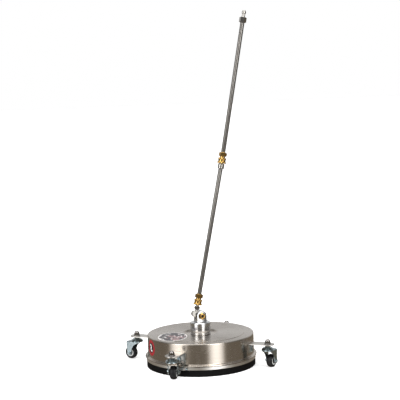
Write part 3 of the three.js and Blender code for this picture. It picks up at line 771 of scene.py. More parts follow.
def swivel_housing():
    low, high = height_of("swivel_housing")
    wide = HOUSING_RADIUS
    ceiling = height_of("shaft_seal")[1] + 0.3 * mm
    outline = [
        (SEAL_BORE, low), *thread_rows(NECK_THREAD, low + 0.5 * mm, SEAT - 3 * mm),
        (22.6 * mm, SEAT - 2.6 * mm),
        (22.6 * mm, SEAT, 0.2 * mm), (wide - 1 * mm, SEAT), (wide, SEAT + 0.8 * mm),
        *groove(wide, SEAT + 6 * mm, 0.9 * mm, 1.8 * mm), (wide, high - 2.5 * mm, 1.2 * mm),
        (wide - 2.5 * mm, high, 1.2 * mm), (24 * mm, high), (23.4 * mm, high - 0.6 * mm),
        (22.2 * mm, high - 0.6 * mm), (21.6 * mm, high), (10.3 * mm, high), (10.3 * mm, ceiling),
        (SEAL_BORE, ceiling),
    ]
    body = turned("swivel_body", softened(outline, 0.25 * mm, steps=2), 128)
    return put(body, ALUMINIUM, HOME, "deck", "aluminium", "swivel_housing")


def octagon_nut():
    low, high = height_of("hub_nut")
    apothem = radius_of("hub_nut") * math.cos(math.pi / 8)

    def profile(angle):
        turn = (angle + math.pi / 8) % (math.pi / 4) - math.pi / 8
        edge = apothem / math.cos(turn)
        drop = (edge - apothem * 0.97) * 0.5
        return [(24.3 * mm, low + 1 * mm), (25.3 * mm, low), (apothem * 0.97, low), (edge, low + drop),
                (edge, high - drop), (apothem * 0.97, high), (25.3 * mm, high), (24.3 * mm, high - 1 * mm)]

    nut = turned("hub_ring_nut", profile, 96, sharp=18)
    nut.data.transform(Matrix.Rotation(math.pi / 8, 4, "Z"))
    return put(nut, ZINC, HOME, "deck", "zinc", "hub_nut")


def ball_bearing(node):
    low, high = height_of(node)
    outer, inner = BEARING_OUTER, BEARING_INNER
    ring, shield, inset = 3 * mm, 3.4 * mm, 0.8 * mm
    outline = [
        (inner, low), (inner + ring, low), (inner + shield, low + inset), (outer - shield, low + inset),
        (outer - ring, low), (outer, low), (outer, high), (outer - ring, high),
        (outer - shield, high - inset), (inner + shield, high - inset), (inner + ring, high),
        (inner, high),
    ]
    rings = turned(node + "_rings", softened(outline, 0.4 * mm, steps=2), 72)
    return put(rings, NICKEL, HOME, "deck", "steel", node)


def lip_seal():
    low, high = height_of("shaft_seal")
    trough = low + 2.4 * mm
    outline = [(10.2 * mm, low + 1 * mm), (12 * mm, low), (15 * mm, trough), (18.6 * mm, trough),
               (19 * mm, low), (BEARING_OUTER, low), (BEARING_OUTER, high), (11.6 * mm, high)]
    seal = turned("shaft_lip_seal", softened(outline, 0.4 * mm, steps=2), 72)
    return put(seal, RUBBER, HOME, "deck", "seal", "shaft_seal")


housing = swivel_housing()
octagon_nut()
for name in ("bearing_lower", "bearing_upper"):
    ball_bearing(name)
lip_seal()
print("swivel:", len(housing.data.polygons), "faces in its body")

# %% [markdown]
# ## Shaft, spray arm and nozzles
#
# Under the deck the shaft holds a block with a tube out to each side. At each end a short elbow points
# down and a few degrees off upright, so that the water's push spins the arm. The arm is mild steel, bent
# and welded.

# %% Spray arm
ARM_HEIGHT = sum(height_of("spray_arm")) / 2
ARM_REACH = 160 * mm
ARM_BLOCK_HALF = 13 * mm
NOZZLE_TILT = math.radians(15)


def rotor_shaft():
    low, high = height_of("rotor_shaft")
    collar = radius_of("rotor_shaft")
    foot = ARM_HEIGHT + ARM_BLOCK_HALF
    outline = [
        (4 * mm, low), (9 * mm, low), (9.7 * mm, low + 0.8 * mm), (9.7 * mm, foot + 0.3 * mm),
        (collar, foot + 0.3 * mm, 0.8 * mm), (collar, foot + 8 * mm, 0.8 * mm), (9.7 * mm, foot + 9 * mm),
        (9.7 * mm, high - 0.8 * mm), (9 * mm, high), (4 * mm, high),
    ]
    shaft = turned("hollow_shaft", softened(outline, 0.3 * mm, steps=2), 64)
    return put(shaft, NICKEL, HOME, "rotor", "steel", "rotor_shaft")


def weld_bead(name, radius, height, size=1.3 * mm, seed=1):
    """A ring of weld, its surface in small ripples."""
    dice = random.Random(seed)
    ripple = [dice.uniform(0.75, 1.1) for _ in range(96)]

    def profile(angle):
        swell = size * ripple[round(angle / (2 * math.pi) * 96) % 96]
        return [(radius - 0.3 * mm + swell * math.cos(t) * 0.8, height + swell * math.sin(t) * 1.2)
                for t in (2 * math.pi * k / 8 for k in range(8))]

    return turned(name, profile, 96, sharp=80)


def arm_end(side):
    return Matrix.Translation((side * ARM_REACH, 0, ARM_HEIGHT)) @ Matrix.Rotation(NOZZLE_TILT * side, 4, "X")


def spray_arm():
    high = height_of("spray_arm")[1]
    half_x, half_y = 22 * mm, 17 * mm
    outline = [(-half_x, -half_y), (half_x, -half_y), (half_x, half_y), (-half_x, half_y)]
    block = plate("arm_block", softened(outline, 5 * mm, steps=5), ARM_HEIGHT - ARM_BLOCK_HALF,
                  ARM_HEIGHT + ARM_BLOCK_HALF)
    cut(block, drill(10 * mm, ARM_HEIGHT + 1 * mm, high + 1 * mm))
    broken_edges(block, 0.8 * mm)
    put(block, NICKEL, HOME, "rotor", "steel", "spray_arm")
    across = Matrix.Translation((0, 0, ARM_HEIGHT)) @ ABOUT_X
    for side in (-1, 1):
        near, far = sorted((side * 21 * mm, side * (ARM_REACH - 6 * mm)))
        tube = turned("arm_tube", [(5 * mm, near), (7 * mm, near), (7 * mm, far), (5 * mm, far)], 48)
        put(tube, TUBE, across, "rotor", "steel")
        put(weld_bead("arm_weld", 7 * mm, side * 22 * mm, seed=3 + side), NICKEL, across, "rotor", "steel")
        outline = [(0, -13 * mm), (7.6 * mm, -13 * mm), (9 * mm, -11.6 * mm), (9 * mm, 9 * mm, 5 * mm),
                   (6 * mm, 13 * mm, 4 * mm), (0, 13 * mm)]
        elbow = turned("arm_elbow", softened(outline, 0.6 * mm, closed=False), 48, closed=False)
        put(elbow, NICKEL, arm_end(side), "rotor", "steel")
        bead = weld_bead("elbow_weld", 7 * mm, side * (ARM_REACH - 8.6 * mm), seed=7 + side)
        put(bead, NICKEL, across, "rotor", "steel")
        node = "nozzle_a" if side > 0 else "nozzle_b"
        put(spray_nozzle(), BRASS, arm_end(side), "rotor", "brass", node)


def spray_nozzle():
    top = -13.3 * mm
    hex_low = top - 7 * mm
    tip = hex_low - 8 * mm

    def profile(angle):
        return [(0, tip + 1.2 * mm), (2.4 * mm, tip), (4.2 * mm, tip), (5 * mm, tip + 0.9 * mm),
                (5 * mm, hex_low - 0.6 * mm), (4.4 * mm, hex_low), *hex_rows(angle, 14 * mm, hex_low, top),
                (4 * mm, top), (4 * mm, top + 8 * mm), (0, top + 8 * mm)]

    nozzle = turned("fan_nozzle", profile, HEX_SEGMENTS, closed=False, sharp=HEX_SHARP)
    outline = [(-0.8 * mm, -8 * mm), (0.8 * mm, -8 * mm), (0.8 * mm, 8 * mm), (-0.8 * mm, 8 * mm)]
    return cut(nozzle, plate("slot", outline, tip - 1 * mm, tip + 1.6 * mm))


rotor_shaft()
spray_arm()
print("spray arm:", round(2 * ARM_REACH / mm), "mm between nozzles")

# %% [markdown]
# ## Yoke and pivot
#
# The lance tilts in a yoke, a block of aluminium with two round ears. It is cut from a round-topped block
# by a slot for the eye of the stem and a cross hole for the pivot bolt. The bolt and its nut are brass,
# and the bolt's head has a round recess with a matt black disc in it, which is painted shade for the dark
# of the hole.

# %% Yoke, bolt and nut
EAR_RADIUS = radius_of("yoke")
YOKE_HALF = (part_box("yoke")[1].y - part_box("yoke")[0].y) / 2
SLOT_HALF = 8 * mm
SPIGOT_LENGTH = 9 * mm
WATER_BORE = 4 * mm
PIN_RADIUS = 7 * mm
PIN_BORE = PIN_RADIUS + 0.3 * mm
AT_PIVOT = Matrix.Translation(pivot)


def yoke():
    low = height_of("yoke")[0] - pivot.z + SPIGOT_LENGTH
    steps = 40
    turns = [math.pi * k / steps for k in range(steps + 1)]
    arch = [(EAR_RADIUS * math.cos(t), EAR_RADIUS * math.sin(t)) for t in turns]
    block = plate("yoke_block", [(-EAR_RADIUS, low), (EAR_RADIUS, low), *arch], -YOKE_HALF, YOKE_HALF)
    shifted(block, Matrix.Rotation(math.pi / 2, 4, "X"))
    slot_floor = -15 * mm
    reach = 2 * EAR_RADIUS
    outline = [(-reach, -SLOT_HALF), (reach, -SLOT_HALF), (reach, SLOT_HALF), (-reach, SLOT_HALF)]
    slot = plate("yoke_slot", outline, slot_floor, 30 * mm)
    cross = shifted(drill(PIN_BORE, -30 * mm, 30 * mm), ABOUT_Y)
    cut(block, slot, cross)
    broken_edges(block, 1.1 * mm)
    outline = ring_profile(WATER_BORE, 10 * mm, low - SPIGOT_LENGTH, low)
    spigot = turned("yoke_spigot", softened(outline, 0.5 * mm), 64)
    put(spigot, ALUMINIUM, AT_PIVOT, "deck", "aluminium")
    return put(block, ALUMINIUM, AT_PIVOT, "deck", "aluminium", "yoke")


def pivot_bolt():
    face = YOKE_HALF + 0.3 * mm
    outer = face + 8 * mm

    def profile(angle):
        head = hex_rows(angle, 24 * mm, -outer + 1.6 * mm, -face - 0.6 * mm)
        return [(0, -outer + 5 * mm), (4 * mm, -outer + 5 * mm), (4.4 * mm, -outer + 4.6 * mm),
                (6 * mm, -outer + 4.6 * mm), (6 * mm, -outer + 0.5 * mm), (6.5 * mm, -outer),
                (8.6 * mm, -outer), *head, (10.8 * mm, -face), (PIN_RADIUS, -face),
                (PIN_RADIUS, face + 8.5 * mm), (6 * mm, face + 9.5 * mm),
                (0, face + 9.5 * mm)]

    bolt = turned("pivot_pin", profile, HEX_SEGMENTS, closed=False, sharp=HEX_SHARP)
    put(bolt, BRASS, AT_PIVOT @ ABOUT_Y, "deck", "brass", "pivot_bolt")
    # A matt black disc in the bolt head's recess: painted shade standing in for the dark of the hole.
    rows = [(0, -outer + 3.8 * mm), (2.4 * mm, -outer + 3.9 * mm), (5.8 * mm, -outer + 4.5 * mm),
            (5.8 * mm, -outer + 4.8 * mm), (0, -outer + 4.8 * mm)]
    recess_shade_disc = turned("pivot_recess_shade", rows, 48, closed=False)
    put(recess_shade_disc, RUBBER, AT_PIVOT @ ABOUT_Y, "deck", "brass")
    nut = hexagon("pivot_lock_nut", 24 * mm, face, outer, PIN_BORE)
    return put(nut, BRASS, AT_PIVOT @ ABOUT_Y, "deck", "brass", "pivot_nut")


yoke()
pivot_bolt()
print("pivot", round(pivot.z / mm, 1), "mm above the floor")

# %% [markdown]
# ## Stem, couplers and lance
#
# Everything here is turned round the lance's own axis, so each piece is made upright at the origin and
# then put on that axis. The couplers are the quick kind: a plug with a groove, and a socket whose sliding
# sleeve frees it. A hexagon on the socket holds the tube. The sleeves have a diamond-cut grip, made here
# by pushing their rims in and out round the circle.

# %% Stem and plug
TILT = AT_PIVOT @ Matrix.Rotation(math.atan2(lower_axis.x, lower_axis.z), 4, "Y")
STEM_OFFSET = 17.7 * mm
LOWER = TILT @ Matrix.Translation((-STEM_OFFSET, 0, 0))
UPPER = Matrix.Translation(knee) @ Matrix.Rotation(math.atan2(upper_axis.x, upper_axis.z), 4, "Y")
COUPLER_START = 37.5 * mm
COUPLER_LENGTH = 43 * mm
LOWER_TUBE = 485 * mm
UPPER_TUBE = 497 * mm
TUBE_SEAT = 8.3 * mm
SEAT_DEPTH = 12.3 * mm
COLLAR_UNDER = COUPLER_START + COUPLER_LENGTH + LOWER_TUBE
COLLAR_TOP = COLLAR_UNDER + 19 * mm
KNEE_RISE = 8 * mm
PLUG_LENGTH = 20 * mm


def plug_rows(shoulder):
    """The outside of a quick-connect plug, going up from its shoulder to its nose."""
    notch = shoulder + PLUG_LENGTH * 0.45
    return [(6 * mm, shoulder), (6 * mm, notch), (4.8 * mm, notch + 1.2 * mm), (4.8 * mm, notch + 2.4 * mm),
            (6 * mm, notch + 3.6 * mm), (6 * mm, shoulder + PLUG_LENGTH - 1 * mm),
            (5 * mm, shoulder + PLUG_LENGTH), (3 * mm, shoulder + PLUG_LENGTH)]


def tilt_arm():
    """The arm between the ears: the eye on the pivot and the round heel that the stem rises from."""
    half = SLOT_HALF - 0.3 * mm
    heel = Vector((-24.2 * mm, 3 * mm))
    eye_radius, heel_radius = 13.5 * mm, 11.5 * mm
    towards = math.atan2(heel.y, heel.x)
    tangent = math.acos((eye_radius - heel_radius) / heel.length)
    outline = []
    for k in range(33):
        angle = towards + tangent + (2 * math.pi - 2 * tangent) * k / 32
        outline.append((eye_radius * math.cos(angle), -eye_radius * math.sin(angle)))
    for k in range(25):
        angle = towards - tangent + 2 * tangent * k / 24
        outline.append((heel.x + heel_radius * math.cos(angle), -heel.y - heel_radius * math.sin(angle)))
    arm = shifted(plate("tilt_arm", list(reversed(outline)), -half, half), ABOUT_Y)
    cut(arm, shifted(drill(PIN_BORE, -20 * mm, 20 * mm), ABOUT_Y))
    return broken_edges(arm, 1 * mm)


def pivot_stem():
    put(tilt_arm(), NICKEL, TILT, "stem", "nickel")

    def profile(angle):
        return [(3 * mm, 11 * mm), (7.4 * mm, 11 * mm), (7.2 * mm, 14.6 * mm), (6.2 * mm, 16.4 * mm),
                (6.2 * mm, 20.6 * mm), (7 * mm, 21.4 * mm), *hex_rows(angle, 18 * mm, 21.5 * mm, 32 * mm),
                (7.4 * mm, 32 * mm), (7.4 * mm, 33.4 * mm), (6 * mm, 34 * mm), *plug_rows(COUPLER_START)]

    stem = turned("stem_and_plug", profile, HEX_SEGMENTS, sharp=HEX_SHARP)
    return put(stem, NICKEL, LOWER, "stem", "nickel", "pivot_stem")


print("stem stands", round(STEM_OFFSET / mm, 1), "mm to the side of the pivot")

# %% Coupler
def coupler_socket(start):
    face = start + 1 * mm
    end = start + COUPLER_LENGTH
    hex_low = end - 15 * mm
    seat = end - SEAT_DEPTH

    def profile(angle):
        return [(7 * mm, face + 0.8 * mm), (7.8 * mm, face), (9.2 * mm, face), (10 * mm, face + 0.8 * mm),
                (10 * mm, hex_low - 0.6 * mm), (10.4 * mm, hex_low - 0.2 * mm), (11 * mm, hex_low),
                *hex_rows(angle, 26.5 * mm, hex_low, end - 1.2 * mm),
                (11.4 * mm, end - 1.2 * mm), (11.2 * mm, end), (8.9 * mm, end), (TUBE_SEAT, end - 0.5 * mm),
                (TUBE_SEAT, seat), (WATER_BORE, seat), (WATER_BORE, start + PLUG_LENGTH),
                (7 * mm, start + PLUG_LENGTH)]

    return turned("coupler_socket", profile, 96, sharp=18)


def coupler_sleeve(start):
    low = start + 1 * mm
    high = low + 21 * mm
    ridges, steps = 44, 6

    def profile(angle):
        ripple = abs((angle * ridges / (2 * math.pi)) % 1 - 0.5) * 2
        dip = 0.5 * mm * ripple
        wide, slim, narrow = 16.5 * mm, 15.5 * mm, 14.3 * mm
        return [(10.3 * mm, low + 0.6 * mm), (10.9 * mm, low), (wide - 1 * mm, low),
                (wide - dip, low + 0.9 * mm),
                (wide - dip, low + 4.5 * mm), (wide - 0.8 * mm, low + 5.5 * mm), (narrow, low + 6.8 * mm),
                (narrow - 0.3 * mm, low + 10.5 * mm), (narrow, high - 6.8 * mm),
                (slim - 0.7 * mm, high - 5.5 * mm),
                (slim - dip, high - 4.6 * mm), (slim - dip, high - 0.9 * mm), (slim - 1 * mm, high),
                (10.9 * mm, high), (10.3 * mm, high - 0.6 * mm)]

    return turned("coupler_sleeve", profile, ridges * steps, sharp=24)


print("coupler:", round(COUPLER_LENGTH / mm), "mm long")

# %% Lance tubes, collar and gun plug
def lance_tube(low, high):
    return turned("lance_tube", softened(ring_profile(6 * mm, 8 * mm, low, high), 0.3 * mm, steps=2), 64)


def lance_collar():
    low, high, wide = COLLAR_UNDER, COLLAR_TOP, 12 * mm
    seat = low + SEAT_DEPTH
    outline = [
        (TUBE_SEAT, low), (wide - 0.8 * mm, low), (wide, low + 0.8 * mm),
        *groove(wide, low + 5 * mm, 0.6 * mm, 1.4 * mm), *groove(wide, low + 12 * mm, 0.6 * mm, 1.4 * mm),
        (wide, high - 2 * mm), (10 * mm, high), *plug_rows(high), (3 * mm, seat), (TUBE_SEAT, seat),
    ]
    return turned("lance_collar", softened(outline, 0.2 * mm, steps=2), 72)


def gun_plug():
    low = COUPLER_LENGTH - KNEE_RISE + UPPER_TUBE
    hex_top = low + 21 * mm
    tip = hex_top + 25.5 * mm
    seat = low + SEAT_DEPTH

    def profile(angle):
        return [(TUBE_SEAT, low + 0.5 * mm), (8.8 * mm, low), (10.6 * mm, low),
                *hex_rows(angle, 24 * mm, low + 0.5 * mm, hex_top - 1 * mm), (10.4 * mm, hex_top - 1 * mm),
                (9.6 * mm, hex_top), (6.2 * mm, hex_top + 0.4 * mm), (6.2 * mm, tip - 13 * mm),
                (8 * mm, tip - 11.5 * mm), (8 * mm, tip - 5 * mm), (6.2 * mm, tip - 3.5 * mm),
                (6.2 * mm, tip - 1 * mm), (5.2 * mm, tip), (3.4 * mm, tip), (3 * mm, tip - 0.6 * mm),
                (3 * mm, seat), (TUBE_SEAT, seat)]

    return turned("gun_plug_nose", profile, HEX_SEGMENTS, sharp=HEX_SHARP)


lower_tube_low = COUPLER_START + COUPLER_LENGTH - 12 * mm
upper_tube_low = COUPLER_LENGTH - KNEE_RISE - 12 * mm
upper_tube_high = COUPLER_LENGTH - KNEE_RISE + UPPER_TUBE + 12 * mm
pivot_stem()
put(coupler_socket(COUPLER_START), BRASS, LOWER, "lower_lance", "brass", "coupler_lower_socket")
put(coupler_sleeve(COUPLER_START), BRASS, LOWER, "lower_sleeve", "brass", "coupler_lower_sleeve")
put(lance_tube(lower_tube_low, COLLAR_UNDER + 12 * mm), TUBE, LOWER, "lower_lance", "steel", "lance_lower")
put(lance_collar(), NICKEL, LOWER, "lower_lance", "steel", "lance_collar")
put(coupler_socket(-KNEE_RISE), BRASS, UPPER, "upper_lance", "brass", "coupler_upper_socket")
put(coupler_sleeve(-KNEE_RISE), BRASS, UPPER, "upper_sleeve", "brass", "coupler_upper_sleeve")
put(lance_tube(upper_tube_low, upper_tube_high), TUBE, UPPER, "upper_lance", "steel", "lance_upper")
put(gun_plug(), NICKEL, UPPER, "upper_lance", "nickel", "gun_plug")
print("lance:", round((COLLAR_TOP + UPPER_TUBE) / mm), "mm of it above the pivot")

# %% [markdown]
# ## Casters
#
# The four casters are the same, so one function makes a caster from its place on the deck and the way its
# wheel trails. Both are read from the frame. A bracket of bent sheet is bolted to the deck's wall. The
# caster's threaded stem has a nut under the plate and goes up through it to a cap nut on a washer. Under
# it a ball race carries a fork of bent sheet.

# %% Bracket
BRACKET_SHEET = 3 * mm
BRACKET_HALF = 25.5 * mm


def bracket(low, high, stem_at):
    """A sheet whose flange follows the deck's wall, bent at the top into a plate with a round end."""
    middle = wall_radius + 0.3 * mm + BRACKET_SHEET / 2
    top = high - BRACKET_SHEET / 2
    bend = 5 * mm
    columns = 24
    rows = []
    for k in range(5):
        rows.append(("wall", low + (top - bend - low) * k / 4))
    rows += [("bend", math.pi / 2 * k / 6) for k in range(1, 7)]
    rows += [("plate", k / 8) for k in range(1, 9)]
    rows += [("end", math.pi / 2 * k / 14) for k in range(1, 14)]
    vertices = []
    for kind, value in rows:
        for c in range(columns + 1):
            side = 2 * c / columns - 1
            y = side * BRACKET_HALF
            x = math.sqrt(middle ** 2 - y ** 2)
            if kind == "wall":
                vertices.append((x, y, value))
            elif kind == "bend":
                vertices.append((x + bend * (1 - math.cos(value)), y, top - bend + bend * math.sin(value)))
            elif kind == "plate":
                near = x + bend
                vertices.append((near + (stem_at - near) * value, y, top))
            else:
                reach = BRACKET_HALF * math.sin(value)
                vertices.append((stem_at + reach, y * math.cos(value), top))
    wide = columns + 1
    faces = [(r * wide + c, r * wide + c + 1, (r + 1) * wide + c + 1, (r + 1) * wide + c)
             for r in range(len(rows) - 1) for c in range(columns)]
    sheet = piece_from("caster_bracket", vertices, faces, sharp=80)
    step = sheet.modifiers.new("thickness", "SOLIDIFY")
    step.thickness = BRACKET_SHEET
    step.offset = 0
    apply_modifiers(sheet)
    return sheet


print("bracket sheet:", round(BRACKET_SHEET / mm), "mm thick")

# %% Stem and cap nut
def caster_stem(low, high, race_low):
    """The threaded pin with the rivet at its foot, the top half of the ball race, and its own nut."""
    race_top = race_low + 6.7 * mm
    nut_top = race_top + 10 * mm
    foot = [
        (0, low), (8 * mm, low), (9 * mm, low + 0.8 * mm), (9 * mm, low + 3.5 * mm), (6 * mm, low + 3.5 * mm),
        (6 * mm, race_low), (22.4 * mm, race_low, 0.6 * mm), (24 * mm, race_low + 1.5 * mm, 1 * mm),
        (21.5 * mm, race_low + 2.6 * mm, 1 * mm), (17 * mm, race_top, 1.6 * mm),
    ]
    foot = softened(foot, 0.2 * mm, closed=False, steps=2)

    def profile(angle):
        return [*foot, (9.2 * mm, race_top), *hex_rows(angle, 19 * mm, race_top + 0.2 * mm, nut_top),
                *thread_rows(6 * mm, nut_top + 0.1 * mm, high, 1.75 * mm, 0.7 * mm), (0, high)]

    return turned("caster_king_pin", profile, HEX_SEGMENTS, closed=False, sharp=24)


def cap_nut(low, high):
    hex_low = low + 2.5 * mm
    hex_high = hex_low + 7 * mm
    dome = 9.4 * mm
    rise = high - hex_high - 0.4 * mm
    turns = [math.pi / 20 * k for k in range(10)]
    arc = [(dome * math.cos(t), high - rise + rise * math.sin(t)) for t in turns]

    def profile(angle):
        return [(0, hex_high + 2.4 * mm), (6.3 * mm, hex_high + 2.4 * mm), (6.3 * mm, low), (12.1 * mm, low),
                (12.5 * mm, low + 0.4 * mm), (12.5 * mm, low + 2 * mm), (12 * mm, hex_low), (9 * mm, hex_low),
                *hex_rows(angle, 19 * mm, hex_low + 0.1 * mm, hex_high), *arc, (0, high)]

    return turned("cap_nut_and_washer", profile, HEX_SEGMENTS, closed=False, sharp=24)


print("cap nut:", round(radius_of("caster_front_left_cap_nut") * 2 / mm), "mm across its washer")

# %% Fork
FORK_HALF = 18.1 * mm
FORK_SHEET = 2.2 * mm
TRAIL = 27 * mm
BOSS_RADIUS_FORK = 9 * mm
THROAT = 0.79
CROWN_UNDER = 69 * mm


def fork_edges(z, axle_z, crown_z):
    """How far forward and back the fork's leg reaches at a height, from its leading to its trailing edge."""
    if z <= axle_z:
        half = math.sqrt(max(0, BOSS_RADIUS_FORK ** 2 - (axle_z - z) ** 2))
        return TRAIL - half, TRAIL + half
    rise = min(1, (z - axle_z) / (crown_z - axle_z))
    t = (math.sqrt(THROAT ** 2 + (1 - 2 * THROAT) * rise) - THROAT) / (1 - 2 * THROAT)
    start, middle, end = TRAIL - BOSS_RADIUS_FORK, 16 * mm, -20 * mm
    leading = start * (1 - t) ** 2 + 2 * middle * t * (1 - t) + end * t * t
    trailing = TRAIL + BOSS_RADIUS_FORK + (38 * mm - TRAIL - BOSS_RADIUS_FORK) * rise
    return leading, trailing


def caster_fork(crown_z, axle_z):
    """A U of sheet: up one leg, over the crown and down the other."""
    top = crown_z + FORK_SHEET / 2
    bend = 4 * mm
    path = [(FORK_HALF, axle_z - BOSS_RADIUS_FORK * math.cos(math.pi / 2 * k / 8)) for k in range(9)]
    path += [(FORK_HALF, axle_z + (top - bend - axle_z) * k / 6) for k in range(1, 7)]
    path += [(FORK_HALF - bend + bend * math.cos(t), top - bend + bend * math.sin(t))
             for t in (math.pi / 2 * k / 5 for k in range(1, 6))]
    path += [(FORK_HALF - bend - (FORK_HALF - bend) * k / 4, top) for k in range(1, 5)]
    path += [(-y, z) for y, z in reversed(path[:-1])]
    columns = 14
    vertices = []
    for y, z in path:
        back, front = fork_edges(z, axle_z, crown_z)
        vertices += [(back + (front - back) * c / columns, y, z) for c in range(columns + 1)]
    wide = columns + 1
    faces = [(r * wide + c, r * wide + c + 1, (r + 1) * wide + c + 1, (r + 1) * wide + c)
             for r in range(len(path) - 1) for c in range(columns)]
    sheet = piece_from("caster_fork_sheet", vertices, faces, sharp=80)
    step = sheet.modifiers.new("thickness", "SOLIDIFY")
    step.thickness = FORK_SHEET
    step.offset = 0
    apply_modifiers(sheet)
    hole = shifted(drill(4.3 * mm, -30 * mm, 30 * mm), Matrix.Translation((TRAIL, 0, axle_z)) @ ABOUT_Y)
    cut(sheet, hole, drill(6.3 * mm, crown_z - 5 * mm, crown_z + 9 * mm))
    return broken_edges(sheet, 0.4 * mm, 50)


def fork_crown(low, high):
    outline = [(6.3 * mm, low), (22 * mm, low), (24 * mm, low + 1 * mm), (24 * mm, low + 2.4 * mm),
               (21 * mm, high, 1.5 * mm), (18.4 * mm, high, 0.6 * mm), (17.4 * mm, high - 1 * mm, 0.6 * mm),
               (15 * mm, high - 1 * mm, 0.6 * mm), (14 * mm, high, 0.6 * mm), (6.3 * mm, high)]
    return turned("caster_fork_crown", softened(outline, 0.4 * mm, steps=2), 72)


print("fork:", round(2 * FORK_HALF / mm), "mm between its legs' middles")

# %% Wheel
def wheel_axle():
    seat = 19.5 * mm
    high = seat + 4.5 * mm

    def profile(angle):
        foot = hex_rows(angle, 12 * mm, -high, -seat)
        head = hex_rows(angle, 12 * mm, seat, high)
        return [(0, -high - 1.2 * mm), (3 * mm, -high - 1.2 * mm), (3.8 * mm, -high - 0.5 * mm),
                (3.8 * mm, -high),
                *foot, (4 * mm, -seat), (4 * mm, seat), *head, (4.6 * mm, high), (4 * mm, high - 0.4 * mm),
                (0, high - 0.4 * mm)]

    return turned("wheel_axle_bolt", profile, HEX_SEGMENTS, closed=False, sharp=HEX_SHARP)


def wheel_hub(radius):
    """A black core with a long boss, whose grey ring is a separate piece."""
    boss, side = 16.7 * mm, 10 * mm
    web, rim = -side + 3 * mm, -side + 0.6 * mm
    half = [(4.3 * mm, -boss), (6.4 * mm, -boss), (7 * mm, -boss + 0.6 * mm), (7.6 * mm, web, 1 * mm),
            (10.4 * mm, web, 0.6 * mm), (10.8 * mm, rim), (radius, rim)]
    outline = half + [(p[0], -p[1], *p[2:]) for p in reversed(half)]
    return turned("wheel_hub_body", softened(outline, 0.4 * mm, steps=2), 80)


def hub_ring(radius, side):
    """The grey ring on one face of the wheel."""
    low, high = sorted((side * 9.6 * mm, side * 11.4 * mm))
    rows = [(10.9 * mm, low), (radius - 0.1 * mm, low), (radius - 0.1 * mm, high), (10.9 * mm, high)]
    return turned("wheel_hub_ring", softened(rows, 0.7 * mm), 80)


def wheel_tyre(radius, inner):
    half = [(inner + 0.3 * mm, -11.2 * mm), (inner + 2.4 * mm, -12 * mm, 1 * mm),
            (radius - 4.4 * mm, -11.6 * mm, 2.4 * mm), (radius - 0.6 * mm, -7.4 * mm, 4 * mm),
            (radius, -0.6 * mm, 0.3 * mm)]
    outline = half + [(p[0], -p[1], *p[2:]) for p in reversed(half)]
    return turned("wheel_tyre", softened(outline, 0.4 * mm, steps=3), 96, sharp=50)


print("wheel:", round(height_of("caster_front_left_tyre")[1] / mm), "mm across its tyre")

# %% One caster
def caster(name):
    node = f"caster_{name}_"
    low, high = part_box(node + "stem")
    stem = (low + high) / 2
    low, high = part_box(node + "axle")
    centre = (low + high) / 2
    out = math.atan2(stem.y, stem.x)
    trail = math.atan2(centre.y - stem.y, centre.x - stem.x)
    stem_at = math.hypot(stem.x, stem.y)
    swivel, wheel = f"{node}swivel", f"{node}wheel"

    outward = Matrix.Rotation(out, 4, "Z")
    low, high = height_of(node + "bracket")
    sheet = bracket(low, high, stem_at)
    bolts = {side: sum(height_of(f"{node}bolt_{side}")) / 2 for side in ("upper", "lower")}
    holes = [shifted(drill(4.3 * mm, wall_radius - 5 * mm, wall_radius + 9 * mm),
                     Matrix.Translation((0, 0, z)) @ ABOUT_X) for z in bolts.values()]
    stem_hole = shifted(drill(6.3 * mm, low, high + 1 * mm), Matrix.Translation((stem_at, 0, 0)))
    cut(sheet, stem_hole, *holes)
    shifted(broken_edges(sheet, 0.5 * mm, 50), outward)
    put(sheet, BRACKET, HOME, "deck", "stainless", node + "bracket")
    for side, z in bolts.items():
        at = outward @ Matrix.Translation((0, 0, z)) @ ABOUT_X
        put(bracket_bolt(), ZINC, at, "deck", "zinc", f"{node}bolt_{side}")

    there = Matrix.Translation((stem.x, stem.y, 0))
    low, high = height_of(node + "stem")
    crown_low, crown_high = CROWN_UNDER, height_of(node + "fork")[1]
    put(caster_stem(low, high, crown_high + 0.3 * mm), ZINC, there, "deck", "zinc", node + "stem")
    put(cap_nut(*height_of(node + "cap_nut")), CHROME, there, "deck", "nickel", node + "cap_nut")

    trailing = Matrix.Rotation(trail, 4, "Z")
    fork = shifted(caster_fork(crown_low, centre.z), trailing)
    put(fork, ZINC, there, swivel, "zinc", node + "fork")
    put(fork_crown(crown_low, crown_high), ZINC, there, swivel, "zinc")

    at_wheel = Matrix.Translation(centre) @ trailing @ ABOUT_Y
    low, high = height_of(node + "wheel_hub")
    hub_radius = (high - low) / 2
    tyre_radius = height_of(node + "tyre")[1] / 2
    put(wheel_axle(), ZINC, at_wheel, swivel, "zinc", node + "axle")
    put(wheel_hub(hub_radius), RUBBER, at_wheel, wheel, "wheel_plastic", node + "wheel_hub")
    for side in (-1, 1):
        put(hub_ring(hub_radius, side), GREY, at_wheel, wheel, "wheel_plastic")
    put(wheel_tyre(tyre_radius, hub_radius), RUBBER, at_wheel, wheel, "tyre", node + "tyre")
    return math.degrees(out), math.degrees(trail)


def bracket_bolt():
    face = wall_radius + 3.6 * mm
    inner = wall_radius - 2.8 * mm

    def profile(angle):
        nut = hex_rows(angle, 13 * mm, inner - 6.5 * mm, inner)
        head = hex_rows(angle, 13 * mm, face + 1 * mm, face + 5.3 * mm)
        return [(0, inner - 9.5 * mm), (3.4 * mm, inner - 9.5 * mm), (4 * mm, inner - 8.9 * mm),
                (4 * mm, inner - 6.5 * mm), *nut, (4 * mm, inner), (4 * mm, face), (7.4 * mm, face),
                (7.4 * mm, face + 0.8 * mm), (6 * mm, face + 1 * mm), *head, (4 * mm, face + 5.3 * mm),
                (3.6 * mm, face + 5 * mm), (0, face + 5 * mm)]

    return turned("bracket_hex_bolt", profile, HEX_SEGMENTS, closed=False, sharp=HEX_SHARP)


